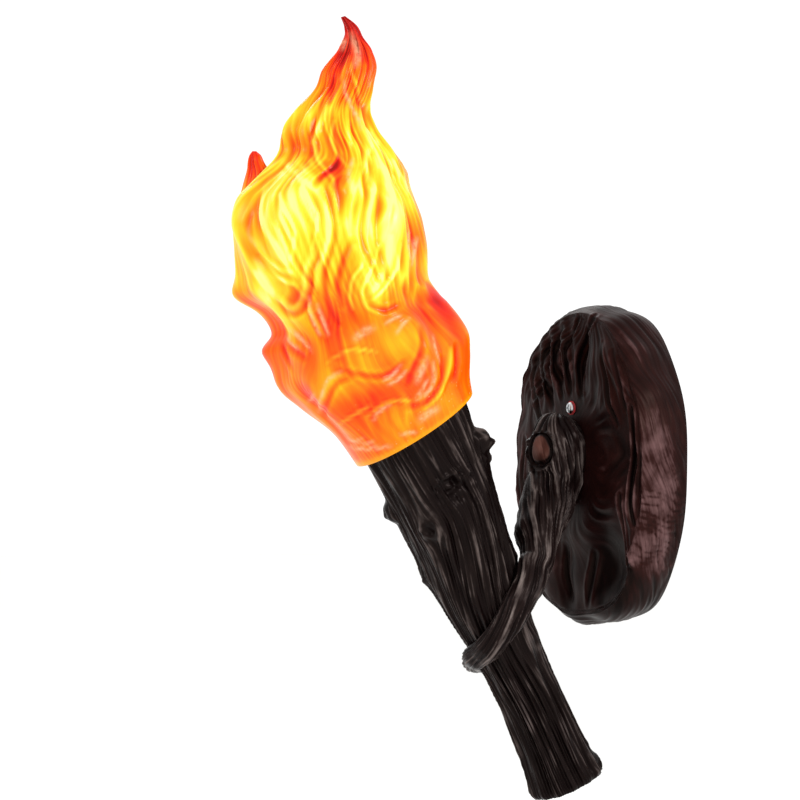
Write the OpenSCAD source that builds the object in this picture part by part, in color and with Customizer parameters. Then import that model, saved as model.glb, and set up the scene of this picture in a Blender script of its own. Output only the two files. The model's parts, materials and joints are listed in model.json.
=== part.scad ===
// Torch wall light. A log is held to a wall plate by a gnarled branch, and a flame-shaped
// shade stands on the log over a screw-in bulb. The shade lifts off along the log, and the
// bulb unscrews. Sizes are in millimetres and +Z is up. The origin is on the wall, midway
// between the wall screws: +Y goes into the wall, and the log stands in the plane X = 0.

/* [Wall plate] */
// Width of the wall plate
plate_w = 182; // [170:1:210]
// Height of the wall plate
plate_h = 244; // [228:1:276]
// Depth of the plate where its front meets its side
plate_rim = 41; // [36:1:44]
// Depth of the plate at the flat seat of the branch
plate_face = 47; // [44:1:52]
// Wall of the plate's shell
plate_wall = 5; // [4:0.5:6.5]

/* [Wall bracket] */
// Length of the steel strap
bracket_l = 139; // [137:1:141]
// Width of the strap
bracket_w = 24; // [20:1:30]
// Thickness of the strap
bracket_t = 2; // [1.5:0.5:3]
// Distance from the wall to the strap's front
bracket_stand = 16; // [14:1:19]
// Length of each foot
foot_l = 20; // [19:1:21]
// Distance between the two wall screw holes
wall_hole_gap = 118; // [116:1:122]
// Diameter of the wall screw holes
wall_hole_d = 5; // [4:0.5:6]

/* [Plate screws] */
// Distance between the two screws through the plate's face
screw_gap = 69; // [66:1:71]
// Diameter of their shanks
screw_d = 4; // [3:0.5:5]
// Diameter of their heads
screw_head_d = 8.4; // [7:0.2:9.4]
// Height of their heads
screw_head_h = 2.4; // [1.8:0.2:3]
// Outer diameter of the fibre washers
washer_d = 10.6; // [10:0.2:12]
// Thickness of the fibre washers
washer_t = 0.8; // [0.5:0.1:1.2]

/* [Terminal block] */
// Width of the block
block_w = 21; // [19:1:24]
// Height of the block
block_h = 16; // [14:1:17]
// Depth of the block
block_deep = 12; // [11:1:14]
// Distance between its two poles
pole_gap = 10; // [9:0.5:12]
// Drop of the block's centre below the branch's centre line
block_drop = 18; // [17:0.5:19]

/* [Branch] */
// Height of the branch's root above the middle of the wall screws
root_z = 9; // [5:1:10]
// Distance from the plate's face to the middle of the upright limb
limb_out = 14; // [13:1:20]
// Radius of the limb below the elbow
limb_r = 20; // [17:0.5:21]
// Diameter of the sawn stub
stub_d = 28; // [22:1:32]
// Distance of the stub's sawn face from the wall
stub_reach = 80; // [76:1:90]
// Turn of the stub away from straight out, towards +X
stub_turn = 21; // [0:1:35]
// Gap between the branch and the log that it clasps
seat_gap = 0.3; // [0.2:0.05:0.5]

/* [Threaded tubes] */
// Outer diameter of the tubes that carry the arm, the log and the lampholder
tube_d = 10; // [9:0.5:11]
// Bore of those tubes
tube_bore = 7; // [6.6:0.2:7.4]
// Width across the flats of their nuts
nut_af = 14; // [13:0.5:17]
// Thickness of their nuts
nut_t = 4; // [3:0.5:5]

/* [Log] */
// Distance from the wall to the log's axis at its foot
foot_out = 53.6; // [48:0.2:64]
// Drop of the log's foot below the middle of the wall screws
foot_drop = 241; // [230:1:255]
// Lean of the log away from the wall
log_lean = 26.6; // [23:0.2:29]
// Length of the log
log_l = 314; // [300:1:330]
// Diameter of the log's top
log_top_d = 86; // [80:1:88]
// Diameter of the log's waist
log_waist_d = 50; // [46:1:56]
// Bore for the leads along the log
log_bore = 14; // [12:0.5:16]

/* [Gallery and lampholder] */
// Diameter of the gallery plate
gallery_d = 93.6; // [92:0.2:94]
// Thickness of the gallery plate
gallery_t = 2; // [1.5:0.5:3]
// Radius of the circle of gallery screws
gallery_screw_r = 30; // [27:1:34]
// Outer diameter of the lampholder
holder_d = 40; // [38:1:46]
// Height of the lampholder's lower cup
holder_cap_h = 16; // [14:1:20]
// Height of the lampholder's barrel
holder_body_h = 38; // [36:1:44]
// Wall of the lampholder
holder_wall = 2; // [1.5:0.25:2.5]

/* [Bulb] */
// Diameter of the bulb's screw cap
cap_d = 26.4; // [25.6:0.2:27]
// Height of the screw cap
cap_h = 22; // [20:1:24]
// Diameter of the bulb's globe
globe_d = 58; // [50:1:60]
// Height of the bulb from its contact to its top
bulb_h = 111; // [104:1:116]

/* [Flame shade] */
// Outer diameter of the shade's rim
rim_d = 101; // [100:0.2:104]
// Drop of the rim's centre below the log's top
rim_drop = 13; // [11:1:16]
// Height of the flame's tip above the centre of the rim
flame_h = 308; // [296:1:340]
// Width of the flame at its widest, across its broad side
flame_w = 143; // [138:1:160]
// Turn of the flame's broad side away from the plane of the log
flame_turn = 57; // [50:1:64]
// Wall of the shade
shade_wall = 3.2; // [2.4:0.2:4]
// Thickness of the ledge that stands on the gallery
ledge_t = 3; // [2.5:0.5:4]
// Width of the ledge
ledge_w = 7; // [5:0.5:9]
// Gap between the shade and the gallery, all round and below the ledge
shade_gap = 0.3; // [0.2:0.05:0.5]

/* [Leads] */
// Diameter of each insulated lead
lead_d = 2.2; // [1.8:0.1:2.3]

/* [Hidden] */
$fn = 48;

// Clearances: round a threaded part, round a turning part, and a cut's run past a face.
thread_play = 0.05;
turn_play = 0.08;
past = 1;

// Heights up the log, all from its foot.
gallery_top = log_l + gallery_t;
holder_top = gallery_top + holder_cap_h + holder_body_h;
insulator_z = gallery_top + holder_cap_h + 2;
insulator_t = 4;
contact_z = insulator_z + insulator_t + 4;
cap_z = contact_z + 5;
globe_z = contact_z + bulb_h - globe_d / 2;
ledge_z = gallery_top + shade_gap;
rim_z = log_l - rim_drop;

// Slope of the shade's rim against the log, along X and towards the wall.
rim_slope = [0.146, 0.111];

// The flame's sections, from the rim to the tip, for a flame 308 high and 143 wide: left end
// [across, up], right end [across, up], depth from the middle to the near side, and how far
// the near side drops. Places are measured from the centre of the rim.
flame_sections = [
  [-60, -4, 41, 42, 55, -12],
  [-83, 15, 40, 58, 60, -11],
  [-101, 33, 38, 74, 63, -9],
  [-103, 60, 25, 93, 63, -6],
  [-105, 74, 19, 100, 62, -4],
  [-113, 88, 13, 108, 62, -3],
  [-123, 100, 10, 114, 62, -2],
  [-129, 114, 8, 124, 62, 0],
  [-134, 135, 6, 141, 60, 0],
  [-137, 153, 4, 159, 57, 0],
  [-132, 171, 1, 171, 53, 0],
  [-121, 183, -5, 183, 49, 0],
  [-109, 195, -8, 195, 45, 0],
  [-100, 207, -15, 207, 40, 0],
  [-98, 223, -28, 223, 33, 0],
  [-88, 238, -34, 238, 27, 0],
  [-74, 254, -31, 254, 21, 0],
  [-69, 268, -28, 270, 18, 0],
  [-59, 281, -32, 283, 13, 0],
  [-53, 292, -38, 292, 8, 0],
  [-53, 300, -43, 301, 5, 0],
  [-55, 307, -52, 308, 1.5, 0]
];
// Locks of flame that stand out from it: [section, angle, how many sections, degrees, rise].
// The angle runs from the right end past the near side.
flame_locks = [
  [4, 180, 0.45, 26, 9], [7, 180, 0.9, 28, 10], [4.5, 85, 1, 34, 4], [6.5, 300, 1, 30, 6],
  [10, 235, 1.2, 24, 6], [12.5, 330, 1.2, 26, 5], [9, 20, 1.3, 24, 3], [12, 100, 1.4, 26, 4]
];
// How far the troughs between the folds lie inside the sections.
fold_sunk = 2;
// Strands on the folds: how many, their rise, and how far their middle stands out.
flame_strands = 12;
strand_rise = 1.2;
strand_out = 0.4;
// Eddies that turn the strands on the near side: [section, angle, size in sections, turn]. As
// many turn the other way on the far side.
near_eddies = [
  [3, 67, 2.2, 78], [2.7, 128, 2, -62], [6, 122, 1.7, -70], [5, 92, 1.4, 40],
  [10.6, 110, 2, 34], [12.6, 90, 1.3, -30], [9.7, 51, 1.8, -26], [1.7, 50, 1.4, -40]
];
far_side = 190;
// Degrees round the flame that are as long as one section is high.
section_turn = 13;
// The small tongue on the left, in the same terms as the sections. Its depth is that of the
// flame's middle there, tongue_mid across.
tongue_mid = -65;
tongue_sections = [
  [-124, 150, -100, 150, 13, 0],
  [-131, 167, -98, 167, 13, 0],
  [-129, 180, -102, 180, 11, 0],
  [-126, 191, -108, 191, 8, 0],
  [-124, 200, -113, 200, 5, 0],
  [-122, 206, -119, 207, 1.5, 0]
];
flame_drawn_h = 308;
flame_drawn_w = 143;
flame_sides = 56;
flame_step = 0.4;
tongue_sides = 14;
cavity_sides = 24;
cavity_last = 14;

// The log's radius against height, as shares of the top's and the waist's radii: each row is
// [height share, share of the top, share of the waist].
log_shape = [
  [0, 0, 1.12], [0.04, 0, 1.06], [0.11, 0, 0.97], [0.22, 0, 0.93], [0.32, 0, 0.95],
  [0.41, 0.20, 0.68], [0.51, 0.55, 0.28], [0.6, 0.75, 0.06], [0.68, 0.84, 0],
  [0.76, 0.90, 0], [0.86, 0.945, 0], [0.94, 0.99, 0], [1, 1, 0]
];
// How far the log bows towards the wall, against height share.
log_bow = [[0, 2], [0.1, 3], [0.25, 2.5], [0.4, 0], [0.55, -1.5], [0.7, -1], [0.85, 0], [1, 0]];
// Knots, hollows and broken stubs on the log: [height, angle, size, rise, steepness].
log_knots = [
  [274, 56, 8, 8, 2], [261, 57, 12, 5, 1], [248, 240, 9, 7, 2], [233, -58, 9, 3.5, 1],
  [190, 240, 9, 3, 1], [180, 62, 10, 2, 1], [6, 60, 15, 3.5, 1], [257, -14, 11, -3.5, 1],
  [120, 20, 12, 1.5, 1], [150, 170, 11, 4, 1], [60, 200, 10, 2, 1], [205, 130, 9, 2.5, 1],
  [262, 168, 10, -3, 1]
];
log_sides = 72;
log_rings = 48;

// The domed top of the elbow, from the limb's centre at the root: [towards the wall, up, radius].
elbow_dome = [[2, 30, 1], [1.5, 28, 9], [1, 24, 14], [0.5, 17, 18], [0, 8, 20]];
// The limb from the root to the log: [share of the way, sideways, towards the wall, radius].
limb_bow = [
  [0.02, 0, 0, 20.5], [0.22, -5, 5.5, 20], [0.36, -6.5, 5.5, 20], [0.47, -7, 5, 19.5],
  [0.63, -6, 1.4, 18], [0.77, -2.6, 0, 15.5], [0.93, -0.8, 1.7, 13]
];
limb_drawn_r = 20;
// Round the log: [height up the log, angle, rise of the middle above the bark, radius].
clasp = [
  [168, 45, 12, 12.5], [160, 28, 8.5, 12], [153, 7, 6, 11.5], [142, -17, 4.5, 11],
  [133, -42, 3.5, 10.5], [127, -67, 2.5, 10], [121, -105, 1.5, 9.5], [113, -143, 1.5, 9],
  [106, -172, 1, 7.5], [100, -196, 0.5, 5], [98, -208, 0.5, 2]
];
branch_sides = 20;
branch_step = 0.5;

// The cross tube stands on the log where the branch first meets it, and the grip screw goes
// through the branch's end.
cross_z = clasp[0][0];
cross_angle = clasp[0][1];
cross_in = 8;
grip_z = clasp[7][0];
grip_angle = clasp[7][1];
grip_screw_d = 3.5;
grip_screw_l = 24;
// How far the arm tube and the cross tube end before the middle of the branch.
tube_short = 5;

// The leads' route, midway between the pair. From the block to the arm tube: [share of the way
// out, share of the rise]. Along the limb: shares of the way. In the log: [distance from the
// axis towards the cross tube, height from the cross tube].
lead_rise = [[0, 0], [0.22, 0.6], [0.6, 0.93], [1, 1]];
lead_in_limb = [0.1, 0.22, 0.36, 0.5, 0.63, 0.77, 0.88];
lead_in_log = [[34, 0], [24, 0], [14, 0], [6, 1.5], [1.5, 6], [0, 14], [0, 60], [0, 120]];
lead_side = 1.5;
lead_end_gap = 0.8;
lead_step = 0.5;

// ---- Curves and swept solids ----

// A point of a smooth curve through the rows of p, at u rows from its start.
function curve(p, u) =
  let (last = len(p) - 1, i = min(floor(u), last - 1), t = u - i,
       a = p[max(i - 1, 0)], b = p[i], c = p[i + 1], d = p[min(i + 2, last)])
  0.5 * (2 * b + (c - a) * t + (2 * a - 5 * b + 4 * c - d) * t * t
         + (3 * b - a - 3 * c + d) * t * t * t);

// A smooth curve through the rows of p, sampled every step of a row.
function sampled(p, step) =
  let (n = round((len(p) - 1) / step)) [for (i = [0:n]) curve(p, (len(p) - 1) * i / n)];

function unit(v) = v / norm(v);

// Directions along a line of points.
function headings(p) =
  [for (i = [0:len(p) - 1]) unit(p[min(i + 1, len(p) - 1)] - p[max(i - 1, 0)])];

// Side directions carried along the headings without twist.
function carried(h, side, i = 0) =
  i >= len(h) ? [] :
  let (s = unit(side - (side * h[i]) * h[i])) concat([s], carried(h, s, i + 1));

// Rings of points round a line, with one radius for each of its points.
function tube_rings(p, r, sides, side) =
  let (h = headings(p), s = carried(h, side))
  [for (i = [0:len(p) - 1])
    [for (k = [0:sides - 1])
      let (a = 360 * k / sides)
      p[i] + r[i] * (cos(a) * s[i] + sin(a) * cross(h[i], s[i]))]];

// A closed solid over a stack of rings, each with as many points, which run anticlockwise
// round the way from the first ring to the last.
module skin(rings) {
  n = len(rings[0]);
  m = len(rings);
  polyhedron(
    points = [for (ring = rings) each ring],
    faces = concat(
      [for (i = [0:m - 2], k = [0:n - 1])
        [i * n + k, (i + 1) * n + k, i * n + (k + 1) % n]],
      [for (i = [0:m - 2], k = [0:n - 1])
        [(i + 1) * n + k, (i + 1) * n + (k + 1) % n, i * n + (k + 1) % n]],
      [[for (k = [0:n - 1]) k]],
      [[for (k = [n - 1:-1:0]) (m - 1) * n + k]]
    )
  );
}

// A turned solid from its outline, given as [radius, height].
module turned(outline) {
  rotate_extrude($fn = 64) polygon(outline);
}

// A tube standing on the origin.
module tube(outer_d, inner_d, h) {
  difference() {
    cylinder(d = outer_d, h = h);
    translate([0, 0, -past]) cylinder(d = inner_d, h = h + 2 * past);
  }
}

// A six-sided nut with a true bore, standing on the origin.
module nut(af, bore, h) {
  difference() {
    cylinder(d = af / cos(30), h = h, $fn = 6);
    translate([0, 0, -past]) cylinder(d = bore, h = h + 2 * past);
  }
}

// A pan-head screw whose head stands on the origin and whose shank goes down.
module pan_screw(d, head_d, head_h, l) {
  slot_w = head_d * 0.16;
  difference() {
    union() {
      turned([[0, 0], [head_d / 2, 0], [head_d / 2, head_h * 0.4], [head_d * 0.42, head_h * 0.78],
              [head_d * 0.28, head_h * 0.95], [0, head_h]]);
      translate([0, 0, -l]) cylinder(d = d, h = l + head_h / 2);
    }
    for (turn = [0, 90])
      rotate(turn)
        translate([-head_d * 0.3, -slot_w / 2, head_h * 0.45])
          cube([head_d * 0.6, slot_w, head_h]);
  }
}

// ---- Places ----

// A point or direction of the log's frame, whose Z runs up its axis, in the part's frame.
function log_dir(p) =
  [p[0], p[1] * cos(log_lean) - p[2] * sin(log_lean), p[1] * sin(log_lean) + p[2] * cos(log_lean)];
function log_point(p) = log_dir(p) + [0, -foot_out, -foot_drop];
function round_log(r, a, z) = log_point([r * cos(a), r * sin(a), z]);

module on_log() {
  translate([0, -foot_out, -foot_drop]) rotate([log_lean, 0, 0]) children();
}

// A place on the plate's centre line, facing out from the wall: Z of the children is -Y.
module facing_out(y, z) {
  translate([0, -y, z]) rotate([90, 0, 0]) children();
}

// A place round the log, with the children's Z pointing away from its axis.
module off_log(a, z, r) {
  on_log() translate([0, 0, z]) rotate([0, 90, a]) translate([0, 0, r]) children();
}

// ---- Wall plate ----

plate_sides = 72;
seat_share = 0.36;
front_rings = [0.12, 0.24, 0.36, 0.47, 0.57, 0.66, 0.74, 0.82, 0.89, 0.95];
side_rings = [[0.985, 0.82], [1, 0.62], [0.997, 0.38], [0.98, 0.16], [0.96, 0]];
inner_side_rings = [[0.96, 0], [0.985, 0.4], [0.975, 0.8]];
inner_front_rings = [0.89, 0.74, 0.57, 0.36, 0.12];
// Swells and hollows of the plate's face: [x, z, width, height, rise].
plate_swells = [
  [50, 72, 32, 44, 6], [12, 72, 6, 36, -7], [79, -12, 5, 36, -4], [42, -78, 24, 28, -12],
  [72, -64, 8, 34, 4], [-40, -84, 26, 24, 3], [-14, -84, 8, 30, -5], [-80, -14, 12, 22, 3]
];
fold_pitch = 16;
fold_rise = 3;
fold_x = -30;
fold_z = 74;
fold_w = 30;
fold_h = 38;
fold_slant = 0.25;

// The plate's outline: a rounded oval with a slightly uneven edge.
function plate_edge(a) =
  let (n = 2.25, k = pow(pow(abs(cos(a)), n) + pow(abs(sin(a)), n), -1 / n),
       uneven = 1 + 0.008 * sin(5 * a + 40) - 0.006 * cos(9 * a) - 0.014)
  [plate_w / 2 * cos(a) * k * uneven, plate_h / 2 * sin(a) * k * uneven];

function swell(x, z, b) = b[4] * exp(-pow((x - b[0]) / b[2], 2) - pow((z - b[1]) / b[3], 2));
function sum(v, i = 0) = i >= len(v) ? 0 : v[i] + sum(v, i + 1);
function eased(t) = let (c = min(max(t, 0), 1)) c * c * (3 - 2 * c);

// Depth of the plate's face at a share s of the way from the root to the edge.
function face_depth(s, x, z) =
  let (out = eased((s - seat_share) / 0.25),
       dome = plate_rim + (plate_face - plate_rim) * (1 - eased((s - seat_share) / (1 - seat_share))),
       fold = fold_rise * sin(360 * (x + fold_slant * (z - fold_z)) / fold_pitch)
              * exp(-pow((x - fold_x) / fold_w, 2) - pow((z - fold_z) / fold_h, 2)),
       near_edge = 1 - 0.7 * eased((s - 0.8) / 0.2))
  dome + out * near_edge * (fold + sum([for (b = plate_swells) swell(x, z, b)]));

// A point on the plate: a share s of the way to the edge, drawn in by a wall.
function plate_xz(s, a, inset) =
  let (e = plate_edge(a), c = [0, root_z])
  c + (s - inset / norm(e - c)) * (e - c);
function plate_point(s, a, inset, sunk) =
  let (p = plate_xz(s, a, inset)) [p[0], -(face_depth(s, p[0], p[1]) - sunk), p[1]];
function plate_side_point(row, a, inset, sunk) =
  let (p = plate_xz(row[0], a, inset), e = plate_xz(0.95, a, 0))
  [p[0], -row[1] * (face_depth(0.95, e[0], e[1]) - sunk), p[1]];
function plate_ring(s, inset, sunk) =
  [for (k = [0:plate_sides - 1]) plate_point(s, -360 * k / plate_sides, inset, sunk)];
function plate_side_ring(row, inset, sunk) =
  [for (k = [0:plate_sides - 1]) plate_side_point(row, -360 * k / plate_sides, inset, sunk)];

module wall_plate() {
  color("#3b2421")
  difference() {
    skin(concat(
      [for (s = front_rings) plate_ring(s, 0, 0)],
      [for (row = side_rings) plate_side_ring(row, 0, 0)],
      [for (row = inner_side_rings) plate_side_ring(row, plate_wall, plate_wall)],
      [for (s = inner_front_rings) plate_ring(s, plate_wall, plate_wall)]
    ));
    facing_out(plate_face - 3 * plate_wall, root_z)
      cylinder(d = tube_d + 2 * thread_play, h = 4 * plate_wall);
    for (side = [-1, 1])
      facing_out(plate_face - 3 * plate_wall, root_z + side * screw_gap / 2)
        cylinder(d = screw_d + 0.6, h = 4 * plate_wall);
  }
}

// ---- Inside the plate ----

// The strap's side outline, [out from the wall, along the strap].
strap_outline =
  let (l = bracket_l / 2, f = bracket_l / 2 - foot_l, t = bracket_t, s = bracket_stand)
  [[0, -l], [0, t - f], [s - t, t - f], [s - t, f - t], [0, f - t], [0, l],
   [t, l], [t, f], [s, f], [s, -f], [t, -f], [t, -l]];
earth_rise = 18;
cable_hole_d = 13;
block_z = root_z - block_drop;
wire_y = bracket_stand + block_deep / 2;
block_screw_d = 3;
terminal_screw_d = 3;

module wall_bracket() {
  color("#b9bcc0")
  difference() {
    mirror([0, 1, 0])
      rotate([90, 0, 90])
        translate([0, 0, -bracket_w / 2])
          linear_extrude(bracket_w) polygon(strap_outline);
    for (side = [-1, 1]) {
      facing_out(-past, side * wall_hole_gap / 2)
        cylinder(d = wall_hole_d, h = bracket_t + 2 * past);
      facing_out(bracket_stand - bracket_t - past, root_z + side * screw_gap / 2)
        cylinder(d = screw_d + 2 * thread_play, h = bracket_t + 2 * past);
    }
    facing_out(bracket_stand - bracket_t - past, root_z)
      cylinder(d = cable_hole_d, h = bracket_t + 2 * past);
    facing_out(bracket_stand - bracket_t - past, root_z + earth_rise)
      cylinder(d = screw_d + 2 * thread_play, h = bracket_t + 2 * past);
    facing_out(bracket_stand - bracket_t - past, block_z)
      cylinder(d = block_screw_d + 2 * thread_play, h = bracket_t + 2 * past);
  }
}

module canopy_screws() {
  color("#d8d4cc")
  for (side = [-1, 1])
    facing_out(plate_face + washer_t, root_z + side * screw_gap / 2)
      pan_screw(screw_d, screw_head_d, screw_head_h,
                plate_face + washer_t - bracket_stand + bracket_t + 2);
}

module fibre_washers() {
  color("#a3262a")
  for (side = [-1, 1])
    facing_out(plate_face, root_z + side * screw_gap / 2)
      tube(washer_d, screw_d + 0.2, washer_t);
}

module terminal_block() {
  color("#e9e6dc")
  difference() {
    facing_out(bracket_stand, block_z)
      linear_extrude(block_deep)
        offset(r = 1.5, $fn = 16) square([block_w - 3, block_h - 3], center = true);
    for (side = [-1, 1]) {
      translate([side * pole_gap / 2, -wire_y, block_z - block_h / 2 - past])
        cylinder(d = lead_d + 0.6, h = block_h + 2 * past);
      translate([side * pole_gap / 2, -wire_y, block_z])
        rotate([90, 0, 0])
          cylinder(d = terminal_screw_d + 2 * thread_play, h = block_deep);
    }
    facing_out(bracket_stand - past, block_z)
      cylinder(d = block_screw_d + 0.2, h = block_deep + 2 * past);
  }
}

module terminal_screws() {
  l = block_deep / 2 - lead_d / 2 - 0.1;
  color("#c9a24a")
  for (side = [-1, 1])
    translate([side * pole_gap / 2, 0, 0])
      facing_out(bracket_stand + block_deep - 1, block_z)
        difference() {
          translate([0, 0, 1 - l]) cylinder(d = terminal_screw_d, h = l);
          translate([-terminal_screw_d, -0.3, 0.3]) cube([2 * terminal_screw_d, 0.6, 2]);
        }
}

module block_screw() {
  color("#b9bcc0")
  facing_out(bracket_stand + block_deep, block_z)
    pan_screw(block_screw_d, 5, 1.8, block_deep + bracket_t + 1);
}

module earth_screw() {
  color("#c9a24a")
  facing_out(bracket_stand, root_z + earth_rise)
    pan_screw(screw_d, 7.5, 2.2, bracket_t + 3);
}

// ---- Branch ----

arm_tube_in = 9;
arm_washer_t = 1.5;
limb_top = [0, -(plate_face + limb_out), root_z];
arm_tube_start = plate_face - plate_wall - arm_tube_in;
arm_tube_end = plate_face + limb_out - tube_short;
log_r = log_top_d / 2;
waist_r = log_waist_d / 2;
log_radius = [for (row = log_shape) [row[0] * log_l, row[1] * log_r + row[2] * waist_r]];

function bark_r(z) = lookup(z, log_radius);
function bow(z) = lookup(z / log_l, log_bow);
function clasp_point(row) =
  round_log(bark_r(row[0]) + row[2], row[1], row[0]) + log_dir([0, bow(row[0]), 0]);
limb_end = round_log(bark_r(cross_z) + clasp[0][2], cross_angle, cross_z);
cross_tube_end = bark_r(cross_z) + clasp[0][2] - tube_short;
grip_seat = bark_r(grip_z) + clasp[7][2] + 5;

// A place on the way from the root to the log, and the same as branch points.
function limb_place(row) =
  limb_top + row[0] * (limb_end - limb_top) + [row[1], row[2], 0];
branch_line = concat(
  [for (row = elbow_dome) limb_top + [0, row[0], row[1]]],
  [for (row = limb_bow) limb_place(row)],
  [for (row = clasp) clasp_point(row)]
);
branch_radii = concat(
  [for (row = elbow_dome) row[2] * limb_r / limb_drawn_r],
  [for (row = limb_bow) row[3] * limb_r / limb_drawn_r],
  [for (row = clasp) row[3]]
);
channel_d = 8;
chamber_d = 14;

// The limb's way at a share, read from the bowed line.
function limb_at(t) =
  let (x = lookup(t, [for (row = limb_bow) [row[0], row[1]]]),
       y = lookup(t, [for (row = limb_bow) [row[0], row[2]]]))
  limb_place([t, x, y]);

module branch_limb() {
  line = sampled(branch_line, branch_step);
  radii = sampled(branch_radii, branch_step);
  skin(tube_rings(line, radii, branch_sides, [1, 0, 0]));
}

module branch_root() {
  root_w = 40;
  root_h = 52;
  neck_w = 36;
  hull($fn = 32) {
    facing_out(plate_face, root_z)
      scale([root_w / root_h, 1, 1]) cylinder(d = root_h, h = 1);
    facing_out(plate_face + limb_out - 4, root_z + 2)
      scale([neck_w / root_h, 1, 1]) cylinder(d = root_h - 4, h = 1);
  }
}

module sawn_stub() {
  swing = (stub_reach - plate_face - limb_out) / cos(stub_turn);
  translate(limb_top + [0, 0, 3])
    rotate([90, 0, stub_turn])
      cylinder(d1 = stub_d + 4, d2 = stub_d, h = swing);
}

module branch_arm() {
  color("#35211e")
  difference() {
    union() {
      branch_limb();
      branch_root();
      sawn_stub();
    }
    // The flat face on the plate, and room for the heads of the plate's screws.
    translate([-plate_w / 2, -plate_face, -plate_h / 2]) cube([plate_w, plate_face, plate_h]);
    for (side = [-1, 1])
      facing_out(plate_face - past, root_z + side * screw_gap / 2)
        cylinder(d = washer_d + 1, h = past + washer_t + screw_head_h + 1);
    // The way of the arm tube, the leads and the cross tube.
    facing_out(plate_face - past, root_z)
      cylinder(d = tube_d + 2 * thread_play, h = arm_tube_end - plate_face + past + 0.3);
    skin(tube_rings(channel_line, [for (p = channel_line) channel_d / 2], 8, [1, 0, 0]));
    translate(limb_end) sphere(d = chamber_d);
    off_log(cross_angle, cross_z, 0)
      cylinder(d = tube_d + 2 * thread_play, h = cross_tube_end + 0.3);
    off_log(grip_angle, grip_z, bark_r(grip_z) - 2)
      cylinder(d = grip_screw_d + 0.4, h = 30);
    off_log(grip_angle, grip_z, grip_seat)
      cylinder(d = 8, h = 20);
    log_solid(grow = seat_gap, from = 70, to = 200);
  }
}

module arm_tube() {
  color("#c9a24a")
  facing_out(arm_tube_start, root_z)
    tube(tube_d, tube_bore, arm_tube_end - arm_tube_start);
}

module arm_washer() {
  color("#b9bcc0")
  facing_out(plate_face - plate_wall - arm_washer_t, root_z)
    tube(26, tube_d + 2 * thread_play, arm_washer_t);
}

module arm_nut() {
  color("#b9bcc0")
  facing_out(plate_face - plate_wall - arm_washer_t - nut_t, root_z)
    nut(nut_af, tube_d + 2 * thread_play, nut_t);
}

module cross_tube() {
  color("#c9a24a")
  off_log(cross_angle, cross_z, cross_in)
    tube(tube_d, tube_bore, cross_tube_end - cross_in);
}

module grip_screw() {
  color("#b9bcc0")
  off_log(grip_angle, grip_z, grip_seat)
    pan_screw(grip_screw_d, 7, 2, grip_screw_l);
}

// ---- Log ----

recess_d = 34;
recess_h = 12;
// The gallery screws stand clear of the air beside the lampholder.
gallery_screw_turns = [30, 150, 270];
// Rise of the bark's ribs, and how many there are round the log.
bark_rise = 0.9;
bark_ribs = 13;

// The turn from one angle to another, the short way.
function turn(a, b) = let (d = (a - b) % 360) d > 180 ? d - 360 : d < -180 ? d + 360 : d;
function knot(z, a, k) =
  let (aside = turn(a, k[1]) * PI / 180 * bark_r(z), far = norm([z - k[0], aside]) / k[2])
  k[3] * exp(-pow(far, 2 * k[4]));
function bark(z, a) =
  bark_rise * (sin(bark_ribs * a + 70 * sin(1.5 * z))
               + 0.7 * sin(5 * a - 60 * sin(1.1 * z + 50)));
function log_skin_point(z, a, grow) =
  let (r = bark_r(z) + bark(z, a) + sum([for (k = log_knots) knot(z, a, k)]) + grow)
  [r * cos(a), r * sin(a) + bow(z), z];

// The log from one height to another, with its skin moved out by grow.
module log_solid(grow = 0, from = 0, to = log_l) {
  first = ceil(from / log_l * log_rings);
  last = floor(to / log_l * log_rings);
  on_log()
    skin([for (i = [first:last])
      [for (k = [0:log_sides - 1])
        log_skin_point(i * log_l / log_rings, 360 * k / log_sides, grow)]]);
}

module torch_body() {
  color("#33201d")
  difference() {
    log_solid();
    on_log() {
      translate([0, 0, cross_z - tube_d]) cylinder(d = log_bore, h = log_l);
      translate([0, 0, log_l - recess_h]) cylinder(d = recess_d, h = recess_h + past);
      for (a = gallery_screw_turns)
        rotate(a) translate([gallery_screw_r, 0, log_l - 16])
          cylinder(d = 3 + 2 * thread_play, h = 16 + past);
    }
    off_log(cross_angle, cross_z, 0)
      cylinder(d = tube_d + 2 * thread_play, h = bark_r(cross_z) + 20);
    off_log(grip_angle, grip_z, grip_seat - grip_screw_l - 1)
      cylinder(d = grip_screw_d + 2 * thread_play, h = 40);
  }
}

// ---- Leads ----

wire_top = block_z + block_h / 2 + 1;
lead_in_block = [for (z = [block_z - 4, block_z + 2]) [0, -wire_y, z]];
lead_to_tube = [for (p = lead_rise)
  [0, -(wire_y + p[0] * (arm_tube_start - wire_y)), wire_top + p[1] * (root_z - wire_top)]];
lead_in_tube = [for (y = [arm_tube_start + 11, arm_tube_end - 1]) [0, -y, root_z]];
lead_line = concat(
  lead_in_block, lead_to_tube, lead_in_tube,
  [for (t = lead_in_limb) limb_at(t)],
  [limb_end],
  [for (p = lead_in_log) round_log(p[0], cross_angle, cross_z + p[1])],
  [for (z = [gallery_top + 7, gallery_top + 10, insulator_z - lead_end_gap]) log_point([0, 0, z])]
);
lead_last = len(lead_line) - 1;

// The leads' channel in the branch, from the arm tube's end to the cross tube.
channel_from = len(lead_in_block) + len(lead_to_tube) + len(lead_in_tube) - 1;
channel_to = channel_from + len(lead_in_limb) + 1;
channel_line = [for (u = [channel_from:lead_step:channel_to]) curve(lead_line, u)];

// How far each lead stands to the side of the route, u rows from its start.
insulator_side = 7;
function lead_spread(u) =
  lead_side + (pole_gap / 2 - lead_side) * (1 - eased((u - 2) / 3))
  + (insulator_side - lead_side) * eased(u - lead_last + 1);

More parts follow.
